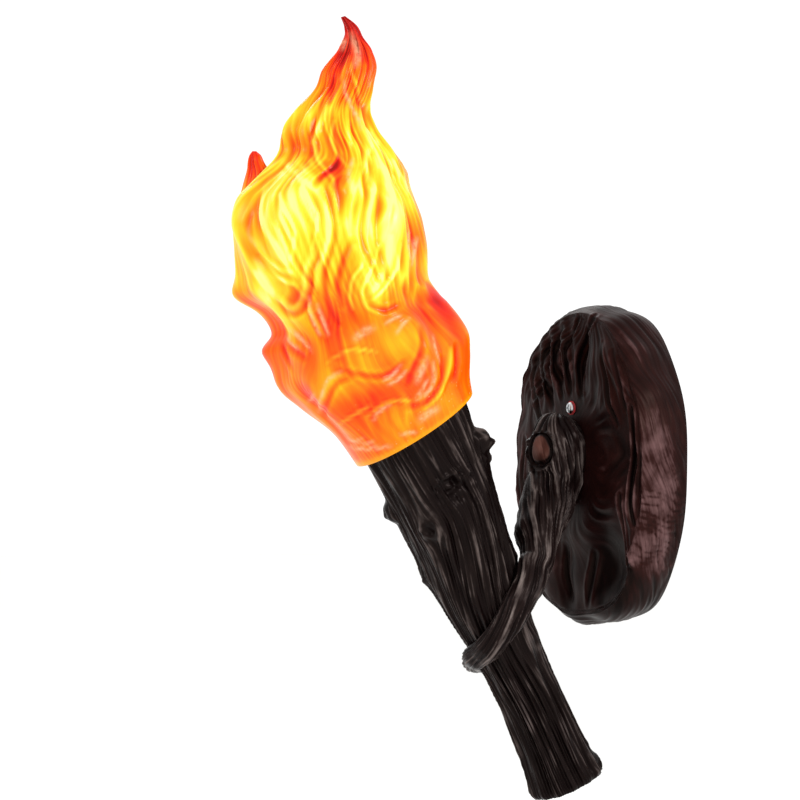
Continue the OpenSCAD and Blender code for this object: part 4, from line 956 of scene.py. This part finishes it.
def even_branch(voxel):
    """The CAD model's branch in small even faces, smoothed a little."""
    piece = copy_of_node("branch_arm", "branch_cast")
    piece.data.remesh_voxel_size = voxel * MM
    piece.data.use_remesh_preserve_volume = True
    only(piece)
    bpy.ops.object.voxel_remesh()
    bpy.ops.object.mode_set(mode="EDIT")
    bpy.ops.mesh.select_all(action="SELECT")
    bpy.ops.mesh.vertices_smooth(factor=0.5, repeat=4)
    bpy.ops.object.mode_set(mode="OBJECT")
    return piece


def round_branch(points):
    """For points of the branch, the way out from its line, the angle round it, the distance
    along it and its radius there."""
    line = branch_line()
    heading, side, up = carried_frames(line[:, :3])
    steps = np.linalg.norm(np.diff(line[:, :3], axis=0), axis=1)
    run = np.concatenate([[0], np.cumsum(steps)])
    near = np.zeros(len(points), int)
    for start in range(0, len(points), BATCH):
        part = points[start:start + BATCH]
        far = np.linalg.norm(part[:, None] - line[None, :, :3], axis=2) - 0.6 * line[None, :, 3]
        near[start:start + BATCH] = far.argmin(1)
    out = points - line[near, :3]
    angle = np.arctan2((out * up[near]).sum(1), (out * side[near]).sum(1))
    return out, angle, run[near] + (out * heading[near]).sum(1), line[near, 3]


def stub_face(points):
    """How far points are from the middle of the stub's cut, and how much they are on it."""
    swing = math.radians(STUB_TURN)
    way = np.array([math.sin(swing), -math.cos(swing), 0.0])
    from_root = points - (LIMB_TOP + [0, 0, STUB_UP])
    reach = from_root @ way
    over = from_root - reach[:, None] * way
    # The cut is an oval, taller than it is wide.
    off = np.hypot(1.22 * np.hypot(over[:, 0], over[:, 1]), 0.92 * over[:, 2])
    tip = (STUB_REACH - PLATE_FACE - LIMB_OUT) / math.cos(swing)
    return off, eased((reach - tip + 2.2) / 1.2) * eased((STUB_R - off) / 1.5)


def clear_of_seats(points):
    """Nought where the branch lies against the plate or the log, and one away from them."""
    on_plate = eased((-points[:, 1] - PLATE_FACE - 0.4) / 2.5)
    from_foot = points - LOG_FOOT
    height = from_foot @ LOG_UP
    axis_far = np.hypot(from_foot @ LOG_SIDE, from_foot @ LOG_BACK - log_bow(height))
    return on_plate * eased((axis_far - log_r(height) - 3.0) / 2.5)


def branch_mesh(voxel):
    """The branch, with bark raised along its grain."""
    piece = even_branch(voxel)
    points = read_points(piece)
    normals = read_normals(piece)
    out, angle, distance, radius = round_branch(points)
    flow = strands(angle + 0.012 * distance, distance, 17.0, 11.0)
    cords = wander(flow, 5.4, 41)
    broad = wander(flow, 12.0, 42)
    fine = wander(flow, 3.0, 43)
    relief = 1 - 2.1 * np.abs(cords) + 0.35 * broad + 0.3 * fine
    # Calmer where the branch bends inwards, because the grain crowds there.
    calm = 1 - 0.7 * hill((distance - 118) / 15)
    rise = calm * relief * np.clip(radius / 14, 0.45, 1.15) + 0.9 * wander(points, 26.0, 44)

    # The stub's end is cut and smoothed, in a hollow of bark whose groove is painted dark, a
    # painted shade.
    off, on_face = stub_face(points)
    uneven = wander(points, 12.0, 45)
    lip = hill((off - STUB_LIP_R - 0.8 * uneven) / 1.6)
    dome = np.cos(np.clip(off / 11, 0, 1) * math.pi / 2)
    rise = rise * (1 - on_face) + (-2.6 * lip + 0.5 * uneven + 0.9 * dome) * on_face
    relief = relief * (1 - on_face) + on_face * (0.7 + 0.5 * uneven - 3.0 * lip)

    # Nothing moves where the skin faces its own line, as in a fold, or lies on a seat.
    outward = (out * normals).sum(1) / np.maximum(np.linalg.norm(out, axis=1), 1e-6)
    free = np.where(on_face > 0.5, 1.0, eased(outward * 3)) * clear_of_seats(points)
    write_points(piece, points + normals * (rise * free)[:, None])
    mark(piece, "rise", relief)
    mark(piece, "flow", flow)
    mark(piece, "sawn", on_face * eased((10.6 - off) / 1.5))
    bpy.ops.object.shade_smooth()
    return piece


# ---- Wall plate ----

PLATE_HALF_W, PLATE_HALF_H, PLATE_RIM, PLATE_WALL = 91.0, 122.0, 41.0, 5.0
# Shares of the way from the plate's root to its edge: where the branch's seat ends, and where
# the face turns over into the side.
SEAT_SHARE, SIDE_SHARE = 0.36, 0.95
# The side from the face to the wall: [share of the way to the edge, share of the depth].
SIDE_RINGS = [[0.985, 0.82], [1, 0.62], [0.997, 0.38], [0.98, 0.16], [0.96, 0]]
# The hollow from the wall inwards, in the same shares, and then under the face.
INNER_SIDE = [[0.96, 0], [0.985, 0.4], [0.975, 0.8]]
INNER_FACE = [0.89, 0.74, 0.57, 0.36, 0.12]
# Swells and hollows of the face: [x, z, half width, half height, rise].
PLATE_SWELLS = [
    [50, 72, 32, 44, 6], [12, 72, 6, 36, -7], [79, -12, 5, 36, -4], [42, -78, 24, 28, -12],
    [72, -64, 8, 34, 4], [-40, -84, 26, 24, 3], [-14, -84, 8, 30, -5], [-80, -14, 12, 22, 3]]
# Folds across the face: pitch, rise and slant, then the patch's middle and half sizes.
FOLD_PITCH, FOLD_RISE, FOLD_SLANT = 16.0, 3.0, 0.25
FOLD_X, FOLD_Z, FOLD_WIDE, FOLD_HIGH = -30.0, 74.0, 30.0, 38.0
# The grain fans out from this point. A spread is the millimetres of grain over one radian, in
# the fan and round the seat.
FAN_X, FAN_Z, FAN_SPREAD, ROOT_SPREAD = 14.0, 128.0, 55.0, 26.0
# Creases cut into the plate: depth, width, lip, then their points as [x, z].
PLATE_CREASES = [
    (3.2, 2.0, 1.2, [[22, 112], [17, 106], [10, 96], [6, 80], [8, 66], [12, 52], [16, 38],
                     [24, 20]]),
    (3.0, 1.8, 0.9, [[0, 112], [-6, 100], [-13, 88], [-10, 74], [-4, 60], [0, 46], [4, 34]]),
    (3.0, 2.0, 1.0, [[-20, 104], [-28, 92], [-27, 78], [-19, 64], [-12, 50], [-8, 38]]),
    (2.6, 2.0, 1.0, [[-38, 94], [-44, 82], [-42, 68], [-33, 54], [-24, 40]]),
    (2.4, 2.2, 1.0, [[-56, 80], [-60, 66], [-54, 50], [-44, 36]]),
    (3.2, 1.6, 2.2, [[74, 44], [77, 26], [76, 8], [73, -10], [72, -28], [76, -44]]),
    (2.4, 1.8, 1.4, [[60, -22], [62, -40], [64, -58], [66, -76], [60, -96]]),
    (1.8, 2.2, 1.0, [[22, -66], [16, -84], [12, -104]]),
    (1.8, 2.2, 0.9, [[-12, -60], [-16, -80], [-12, -100]]),
    (1.6, 1.6, 0.7, [[38, 92], [46, 70], [52, 48], [60, 30]]),
    (1.4, 1.5, 0.6, [[52, 86], [62, 64], [68, 42]]),
    (1.6, 2.0, 0.8, [[-70, 20], [-74, 0], [-70, -22], [-62, -44]]),
]


def plate_edge(a):
    """The plate's outline [x, z] at angles: nearly an oval, with fuller corners."""
    n = 2.25
    k = (np.abs(np.cos(a))**n + np.abs(np.sin(a))**n) ** (-1 / n)
    uneven = (1 + 0.008 * np.sin(5 * a + math.radians(40)) - 0.006 * np.cos(9 * a) - 0.014)
    return np.stack([PLATE_HALF_W * np.cos(a) * k * uneven,
                     PLATE_HALF_H * np.sin(a) * k * uneven], axis=-1)


def plate_places(angle, share, inset=0.0):
    """Places x and z at shares of the way from the root to the edge, set in from it."""
    root = np.array([0.0, ROOT_Z])
    edge = plate_edge(angle) - root
    places = root + (share - inset / np.linalg.norm(edge, axis=-1))[..., None] * edge
    return places[..., 0], places[..., 1]


def swelled(x, z, swells):
    """The rise of swells at places on the face."""
    return sum(rise * hill((x - px) / wide, (z - pz) / high)
               for px, pz, wide, high, rise in swells)


def face_depth(share, x, z):
    """How far the face stands off the wall: a dome with a flat seat, folded and swelled."""
    dome = PLATE_RIM + (PLATE_FACE - PLATE_RIM) * (1 - eased((share - SEAT_SHARE)
                                                             / (1 - SEAT_SHARE)))
    fold = FOLD_RISE * np.sin(2 * math.pi * (x + FOLD_SLANT * (z - FOLD_Z)) / FOLD_PITCH)
    fold *= hill((x - FOLD_X) / FOLD_WIDE, (z - FOLD_Z) / FOLD_HIGH)
    off_seat = eased((share - SEAT_SHARE) / 0.25) * (1 - 0.7 * eased((share - 0.8) / 0.2))
    return dome + off_seat * (fold + swelled(x, z, PLATE_SWELLS))


def crease_relief(x, z):
    """The creases' depth and lips at places on the plate's face."""
    total = np.zeros(x.shape)
    for depth, wide, lip, points in PLATE_CREASES:
        far, share = along(x, z, points, 4 * wide)
        total += tapered(share) * (lip * hill((far - 1.9 * wide) / (0.8 * wide))
                                   - depth * hill(far / wide))
    return total


def plate_grain(points, on_side):
    """Coordinates of fine lines over the plate, fanned from its top and round the seat, and
    along the edge on its sides."""
    x, y, z = np.moveaxis(points, -1, 0)
    fan = np.arctan2(x - FAN_X, FAN_Z - z) * FAN_SPREAD
    blend = eased((np.hypot(x, 0.8 * (z - ROOT_Z)) - 30) / 66)
    across = blend * fan + (1 - blend) * np.arctan2(x, np.abs(z - ROOT_Z)) * ROOT_SPREAD
    across = across * (1 - on_side) + on_side * (y + 0.36 * z)
    return np.stack([across + 2.5 * wander(points, 50, 51), 0.11 * z + 0.1 * x, 0.1 * y], axis=-1)


def plate_shell(angle, rows):
    """The smooth outside as rings from the root to the wall, and each ring's share."""
    share = np.linspace(0.0, SIDE_SHARE, rows)[:, None]
    x, z = plate_places(angle, share)
    depth = face_depth(share, x, z)
    face = np.stack([x, -depth, z], axis=-1)
    rings = curve([[SIDE_SHARE, 1.0]] + SIDE_RINGS, np.linspace(0, len(SIDE_RINGS), 60)[1:])
    side_share, down = rings[:, :1], np.clip(rings[:, 1:], 0, 1)
    x, z = plate_places(angle, side_share)
    side = np.stack([x, -down * depth[-1], z], axis=-1)
    # The side's shares are kept above the face's.
    shares = np.concatenate([share, np.maximum(side_share, SIDE_SHARE + 0.001)])
    return np.concatenate([face, side]), shares


def shell_normals(shell):
    """The outward directions of the smooth outside."""
    normal = np.cross(np.gradient(shell, axis=0),
                      np.roll(shell, -1, axis=1) - np.roll(shell, 1, axis=1))
    size = np.linalg.norm(normal, axis=-1, keepdims=True)
    normal = np.where(size > 1e-9, normal / np.maximum(size, 1e-9), [0.0, -1.0, 0.0])
    sideways = (normal[..., 0] * shell[..., 0] + normal[..., 2] * shell[..., 2]) / 60
    return normal * np.sign(sideways - 4 * normal[..., 1])[..., None]


def plate_inside(angle, rim_depth):
    """The rings of the hollow, from the wall to its middle."""
    sunk = np.maximum(rim_depth - PLATE_WALL, 1.0)
    rings = []
    for share, down in INNER_SIDE:
        x, z = plate_places(angle, share, PLATE_WALL)
        rings.append(np.stack([x, -down * sunk, z], axis=-1))
    for share in INNER_FACE:
        x, z = plate_places(angle, share, PLATE_WALL)
        rings.append(np.stack([x, PLATE_WALL - face_depth(share, x, z), z], axis=-1))
    return np.array(rings + [pole(rings[-1])])


def plate_mesh(columns, rows):
    """The hollow plate, with its relief raised along the outside's normals."""
    angle = round_angles(columns)
    shell, share = plate_shell(angle, rows)
    x, y, z = np.moveaxis(shell, -1, 0)
    on_side = eased((share - 0.91) / 0.04)
    right_side = on_side * eased((x - 64) / 8)
    flow = plate_grain(shell, on_side)
    cords = wander(flow, 8.0, 52)
    broad = wander(flow, 18.0, 53)
    fine = wander(flow, 4.0, 54)
    creases = crease_relief(x, z) * eased((0.99 - share) / 0.04)
    # Cross wrinkles on the side that faces +X.
    phase = (z + 0.25 * y) * math.pi / 5.5 + 2.6 * wander(shell, 24.0, 55)
    gaps = eased(0.8 + 0.9 * wander(shell, 24.0, 57))
    wrinkles = -1.9 * right_side * gaps * hill(np.sin(phase) / 0.42, (z + 42) / 32)
    faint = 1 - 0.65 * right_side
    relief = (creases + faint * (0.4 * (1 - 2 * np.abs(cords)) + 0.3 * broad) + 0.2 * fine
              + 0.5 * wrinkles)
    lumps = 0.9 * wander(shell, 34.0, 56)
    # The seat and the back edge stay as they are.
    off_seat = eased((share - SEAT_SHARE) / 0.12)
    rise = off_seat * eased((-y - 1.0) / 6.0) * (relief + lumps - 0.6)
    outer = held_in_box(shell + rise[..., None] * shell_normals(shell))
    inner = plate_inside(angle, -shell[rows - 1, :, 1])

    # Painted highlight: the side facing +X and the left edge are painted lighter, as where the
    # light falls on them. Painted shade: the sunken swells are painted darker.
    # Painted shade: the sunken swells, such as the scoop, are painted darker.
    hollows = swelled(x, z, [row for row in PLATE_SWELLS if row[-1] < 0])
    side_highlight = 1.3 * right_side * eased((z + 118) / 50) * eased((70 - z) / 60)
    side_highlight *= eased((-y - 5 - 0.3 * np.maximum(z, 0)) / 9)
    side_highlight += 0.5 * eased((share - 0.86) / 0.06) * eased((-x - 60) / 10)
    paint = relief * off_seat + side_highlight + 0.16 * hollows * (1 - right_side)
    return loft("plate_cast", np.concatenate([outer, inner]),
                rise=np.concatenate([paint, np.zeros(inner.shape[:2])]),
                flow=np.concatenate([flow, inner * 0.3]))


# ---- Fittings ----

# Metals: name, colour, roughness, and the width in millimetres of the marks left on them.
METALS = {
    # Bright zinc on stamped steel: light grey under a cloudy bloom.
    "zinc_steel": ("zinc_plated_steel", "#C3C6C8", 0.30, 5.0),
    # Turned brass, left bare: warm yellow, with fine marks of the lathe.
    "brass": ("turned_brass", "#C8A256", 0.26, 0.5),
    # Drawn aluminium: pale and satin.
    "cap_aluminium": ("drawn_aluminium", "#CFD1D3", 0.34, 0.7),
}
# Other finishes: name, colour, roughness, width and depth of the surface's grain in millimetres,
# coat of glaze or gloss, and glow.
MOULDINGS = {
    # Vulcanised fibre: dull red, with short fibres pressed flat.
    "red_fibre": ("vulcanised_fibre", "#9E1F24", 0.78, 0.7, 0.10, 0.0, 0.0),
    # Moulded polyamide: off-white and slightly waxy.
    "white_nylon": ("moulded_polyamide", "#E4E0D2", 0.48, 1.4, 0.04, 0.0, 0.0),
    # Moulded thermoplastic: white and half glossy, with a faint ripple.
    "white_plastic": ("moulded_thermoplastic", "#DAD5CB", 0.32, 2.4, 0.03, 0.2, 0.0),
    # Glazed porcelain: a clear coat over a white body.
    "porcelain": ("glazed_porcelain", "#EFECE4", 0.22, 3.0, 0.05, 0.8, 0.0),
    # Extruded soft vinyl: smooth, with faint lines along the wire.
    "brown_sleeve": ("brown_vinyl_sleeve", "#5B3622", 0.42, 0.8, 0.03, 0.1, 0.0),
    "blue_sleeve": ("blue_vinyl_sleeve", "#2F5E9C", 0.42, 0.8, 0.03, 0.1, 0.0),
    # Fused black glass: nearly black, with a wet gloss.
    "black_glass": ("fused_black_glass", "#101011", 0.12, 2.0, 0.03, 1.0, 0.0),
    # Moulded polybutylene: white, between satin and gloss.
    "bulb_plastic": ("moulded_bulb_neck", "#DCD8CE", 0.38, 1.6, 0.03, 0.1, 0.0),
    # Blown opal polycarbonate, lit from inside: warm and even, a little darker in its thick parts.
    "opal_plastic": ("opal_polycarbonate", "#EED9A4", 0.40, 7.0, 0.02, 0.1, 0.22),
}
BULB_NODES = ["bulb_cap", "bulb_contact", "bulb_insulator", "bulb_collar", "bulb_globe"]
DRESSED_NODES = ["flame_shade", "torch_body", "branch_arm", "wall_plate"]


def marked_metal(name, colour, roughness, width):
    """Bare or plated metal: its gloss and tone wander a little over marks of one width."""
    material, tree, shader = new_material(name)
    place = add(tree, "ShaderNodeTexCoord")
    marks = add(tree, "ShaderNodeTexNoise", Vector=place.outputs["Object"],
                Scale=1 / (width * MM), Detail=4.0, Roughness=0.6)
    gloss = add(tree, "ShaderNodeMapRange", i0=marks.outputs["Fac"], i1=0.3, i2=0.7,
                i3=0.75 * roughness, i4=1.35 * roughness)
    tone = add(tree, "ShaderNodeValToRGB", Fac=marks.outputs["Fac"])
    fill_ramp(tone, [[0.3, shaded(colour, 0.88)], [0.7, colour]])
    bump = add(tree, "ShaderNodeBump", Height=marks.outputs["Fac"], Strength=0.3,
               Distance=0.03 * MM)
    feed(tree, shader, Base_Color=tone.outputs["Color"], Roughness=gloss.outputs[0],
         Normal=bump.outputs["Normal"], Metallic=1.0)
    return material


def grained_moulding(name, colour, roughness, width, depth, coat, glow):
    """Plastic, fibre, porcelain or glass with a faint grain, and a glow where it is lit."""
    material, tree, shader = new_material(name)
    place = add(tree, "ShaderNodeTexCoord")
    grain = add(tree, "ShaderNodeTexNoise", Vector=place.outputs["Object"],
                Scale=1 / (width * MM), Detail=3.0, Roughness=0.5)
    tone = add(tree, "ShaderNodeValToRGB", Fac=grain.outputs["Fac"])
    fill_ramp(tone, [[0.3, shaded(colour, 0.9)], [0.65, colour]])
    bump = add(tree, "ShaderNodeBump", Height=grain.outputs["Fac"], Strength=0.5,
               Distance=depth * MM)
    feed(tree, shader, Base_Color=tone.outputs["Color"], Normal=bump.outputs["Normal"],
         Roughness=roughness, IOR=1.5, Coat_Weight=coat, Coat_Roughness=0.08)
    if glow:
        feed(tree, shader, Emission_Color=tone.outputs["Color"], Emission_Strength=glow)
    return material


def dress_nodes(nodes):
    """Gives CAD nodes the finish of their material slot in the record."""
    slots = {row["node"]: row["material_slot"] for row in frame["record"]["subparts"]}
    for node in nodes:
        slot = slots[node]
        row = METALS.get(slot) or MOULDINGS[slot]
        finish = bpy.data.materials.get(row[0])
        if finish is None:
            finish = (marked_metal if slot in METALS else grained_moulding)(*row)
        for place in bpy.data.objects[node].material_slots:
            place.material = finish


# ---- Settings ----

class SconceColours(bpy.types.PropertyGroup):
    """Paints, as sRGB hex codes."""

    tip: bpy.props.StringProperty(name="Flame tip", description="Red at the tip",
                                  default="#A00C06")
    body: bpy.props.StringProperty(name="Flame body", description="Orange of the lower flame",
                                   default="#F86004")
    heart: bpy.props.StringProperty(name="Flame heart", description="Yellow of the middle",
                                    default="#FACE24")
    # The pale paint of the painted highlights on the flame's ridges.
    gleam_paint: bpy.props.StringProperty(name="Worn paint", description="Milky resin under the paint",
                                   default="#FFC99C")
    floor: bpy.props.StringProperty(name="Floor", description="Pale studio floor",
                                    default="#F4F4F2")


class SconceSizes(bpy.types.PropertyGroup):
    """Sizes that a user would change."""

    camera_far: bpy.props.FloatProperty(name="Camera distance", default=12.0, min=1.0,
                                        description="Distance of the camera", unit="LENGTH")
    floor_drop: bpy.props.FloatProperty(name="Floor drop", default=0.04, min=0.0,
                                        description="Floor below the log's foot", unit="LENGTH")
    flame_columns: bpy.props.IntProperty(name="Flame columns", default=300, min=40,
                                         description="Points round the flame")
    flame_rows: bpy.props.IntProperty(name="Flame rows", default=262, min=40,
                                      description="Rings up the flame")
    log_columns: bpy.props.IntProperty(name="Log columns", default=430, min=40,
                                       description="Points round the log")
    log_rows: bpy.props.IntProperty(name="Log rows", default=220, min=40,
                                    description="Rings up the log")
    branch_voxel: bpy.props.FloatProperty(name="Branch voxel", default=0.0009, min=0.0004,
                                          precision=4, unit="LENGTH",
                                          description="Size of the branch's voxels")
    plate_columns: bpy.props.IntProperty(name="Plate columns", default=480, min=60,
                                         description="Points round the plate")
    plate_rows: bpy.props.IntProperty(name="Plate rows", default=130, min=40,
                                      description="Rings from the plate's middle to its edge")


def sizes():
    """The sizes set in the scene."""
    return bpy.context.scene.sconce_sizes


def colours():
    """The paints set in the scene."""
    return bpy.context.scene.sconce_colours


# ---- Operators ----

class SCONCE_OT_stage(bpy.types.Operator):
    """Floor, studio light and camera"""

    bl_idname = "sconce.stage"
    bl_label = "Stage"

    # The photograph is 800 pixels square at 0.75 mm a pixel, with the wall's centre line at
    # this pixel.
    photo_width = 800
    photo_origin = (625, 466)
    pixel = 0.75
    # The camera's aim stands this far in front of the wall.
    aim_out = 0.08
    sensor = 36
    # The white surroundings, and area lights about a place in front of the wall: name, way to
    # the right, to the camera and up, size in metres and power in watts.
    surroundings = 1.12
    lit_place = (0, -0.12, 0)
    lights = [("key", 1.3, 1.5, 0.8, 0.4, 40), ("fill", -1.5, 0.8, 0.7, 0.6, 12),
              ("rim", -0.6, -1.2, 1.2, 0.8, 10)]

    def execute(self, context):
        self.add_floor()
        self.add_camera()
        self.add_light()
        return {"FINISHED"}

    def add_floor(self):
        clear_selection()
        low = CAD_BOX[0][2] - sizes().floor_drop
        bpy.ops.mesh.primitive_plane_add(size=40, location=(0, 0, low))
        floor = bpy.context.active_object
        floor.name = "studio_floor"
        material, tree, shader = new_material("pale_floor")
        feed(tree, shader, Base_Color=linear(colours().floor), Roughness=0.9)
        dress(floor, material)

    def add_camera(self):
        right, back, up = Vector(VIEW_RIGHT), Vector(VIEW_BACK), Vector((0, 0, 1))
        middle = self.photo_width / 2
        aim = (right * (middle - self.photo_origin[0]) * self.pixel * MM
               + up * (self.photo_origin[1] - middle) * self.pixel * MM + back * self.aim_out)
        far = sizes().camera_far
        bpy.ops.object.camera_add(location=aim + back * far,
                                  rotation=(math.radians(90), 0, VIEW_TURN))
        camera = bpy.context.active_object
        camera.data.sensor_width = self.sensor
        camera.data.lens = self.sensor * far / (self.photo_width * self.pixel * MM)
        camera.data.clip_end = 60
        bpy.context.scene.camera = camera

    def add_light(self):
        scene = bpy.context.scene
        scene.view_settings.view_transform = "Standard"
        scene.world = bpy.data.worlds.new("studio")
        scene.world.use_nodes = True
        tree = scene.world.node_tree
        feed(tree, tree.nodes["Background"], Color=(1, 1, 1, 1), Strength=self.surroundings)
        right, back = Vector(VIEW_RIGHT), Vector(VIEW_BACK)
        for name, to_right, to_camera, up, size, power in self.lights:
            place = right * to_right + back * to_camera + Vector((0, 0, up))
            bpy.ops.object.light_add(type="AREA", location=Vector(self.lit_place) + place)
            lamp = bpy.context.active_object
            lamp.name = name
            lamp.data.size = size
            lamp.data.energy = power
            lamp.rotation_euler = (-place).to_track_quat("-Z", "Y").to_euler()


class SCONCE_OT_flame(bpy.types.Operator):
    """Flame-shaped shade of translucent resin"""

    bl_idname = "sconce.flame"
    bl_label = "Flame shade"

    def execute(self, context):
        columns, rows = sizes().flame_columns, sizes().flame_rows
        outside, marks = flame_outside(columns, rows)
        inside = flame_inside(columns)
        # The hollow is plain, with paint of a middle heat.
        for name, values in marks.items():
            within = np.full((len(inside), *values.shape[1:]), 0.5 if name == "paint" else 0.0)
            marks[name] = np.concatenate([within, values, values[-1:]])
        shade = loft("flame_shade_cast",
                     np.concatenate([inside[::-1], outside, pole(outside[-1])[None]]), **marks)
        piece = join([shade, flame_tongue()], "flame_shade_cast")
        dress(piece, translucent_flame_resin(colours()))
        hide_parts("flame_shade")
        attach(piece, "shade")
        return {"FINISHED"}


class SCONCE_OT_log(bpy.types.Operator):
    """Log with bark, knots and broken stubs"""

    bl_idname = "sconce.log"
    bl_label = "Log"

    def execute(self, context):
        piece = log_mesh(sizes().log_columns, sizes().log_rows)
        dress(piece, dark_resin("log_resin", low="#0F0908", high="#544A47", ridge_from=-0.5,
                                ridge_to=2.1, grain=1.1, gloss=0.34))
        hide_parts("torch_body")
        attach(piece, "sconce")
        return {"FINISHED"}


class SCONCE_OT_branch(bpy.types.Operator):
    """Gnarled branch with its elbow, sawn stub and clasp"""

    bl_idname = "sconce.branch"
    bl_label = "Branch"

    def execute(self, context):
        piece = branch_mesh(sizes().branch_voxel / MM)
        dress(piece, dark_resin("branch_resin", low="#150D0C", high="#6C615D", ridge_from=-0.6,
                                ridge_to=1.8, grain=1.1, gloss=0.34, sawn="#56332B"))
        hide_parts("branch_arm")
        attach(piece, "sconce")
        return {"FINISHED"}


class SCONCE_OT_plate(bpy.types.Operator):
    """Hollow wall plate carved as a root burl"""

    bl_idname = "sconce.plate"
    bl_label = "Wall plate"

    def execute(self, context):
        piece = plate_mesh(sizes().plate_columns, sizes().plate_rows)
        dress(piece, dark_resin("plate_resin", low="#1E0B0A", high="#6C5151", ridge_from=-1.0,
                                ridge_to=2.8, grain=1.8, gloss=0.42, hairy=0.65,
                                sheen="#E8C0B2"))
        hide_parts("wall_plate")
        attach(piece, "sconce")
        return {"FINISHED"}


class SCONCE_OT_fittings(bpy.types.Operator):
    """Bracket, tubes, screws, wiring and lampholder"""

    bl_idname = "sconce.fittings"
    bl_label = "Fittings"

    def execute(self, context):
        dress_nodes([row["node"] for row in frame["record"]["subparts"]
                     if row["node"] not in BULB_NODES + DRESSED_NODES])
        return {"FINISHED"}


class SCONCE_OT_bulb(bpy.types.Operator):
    """Screw-in bulb"""

    bl_idname = "sconce.bulb"
    bl_label = "Bulb"

    def execute(self, context):
        dress_nodes(BULB_NODES)
        return {"FINISHED"}


STEPS = [SCONCE_OT_stage, SCONCE_OT_flame, SCONCE_OT_log, SCONCE_OT_branch, SCONCE_OT_plate,
         SCONCE_OT_fittings, SCONCE_OT_bulb]


class SCONCE_PT_panel(bpy.types.Panel):
    """Buttons for the sconce's pieces"""

    bl_idname = "SCONCE_PT_panel"
    bl_label = "Torch sconce"
    bl_space_type = "VIEW_3D"
    bl_region_type = "UI"
    bl_category = "Sconce"

    def draw(self, context):
        for step in STEPS:
            self.layout.operator(step.bl_idname)


CLASSES = [SconceColours, SconceSizes, *STEPS, SCONCE_PT_panel]


def register():
    for cls in CLASSES:
        bpy.utils.register_class(cls)
    bpy.types.Scene.sconce_colours = bpy.props.PointerProperty(type=SconceColours)
    bpy.types.Scene.sconce_sizes = bpy.props.PointerProperty(type=SconceSizes)


def unregister():
    del bpy.types.Scene.sconce_colours
    del bpy.types.Scene.sconce_sizes
    for cls in reversed(CLASSES):
        bpy.utils.unregister_class(cls)


def main():
    register()
    for step in STEPS:
        group, name = step.bl_idname.split(".")
        getattr(getattr(bpy.ops, group), name)()


if __name__ == "__main__":
    main()
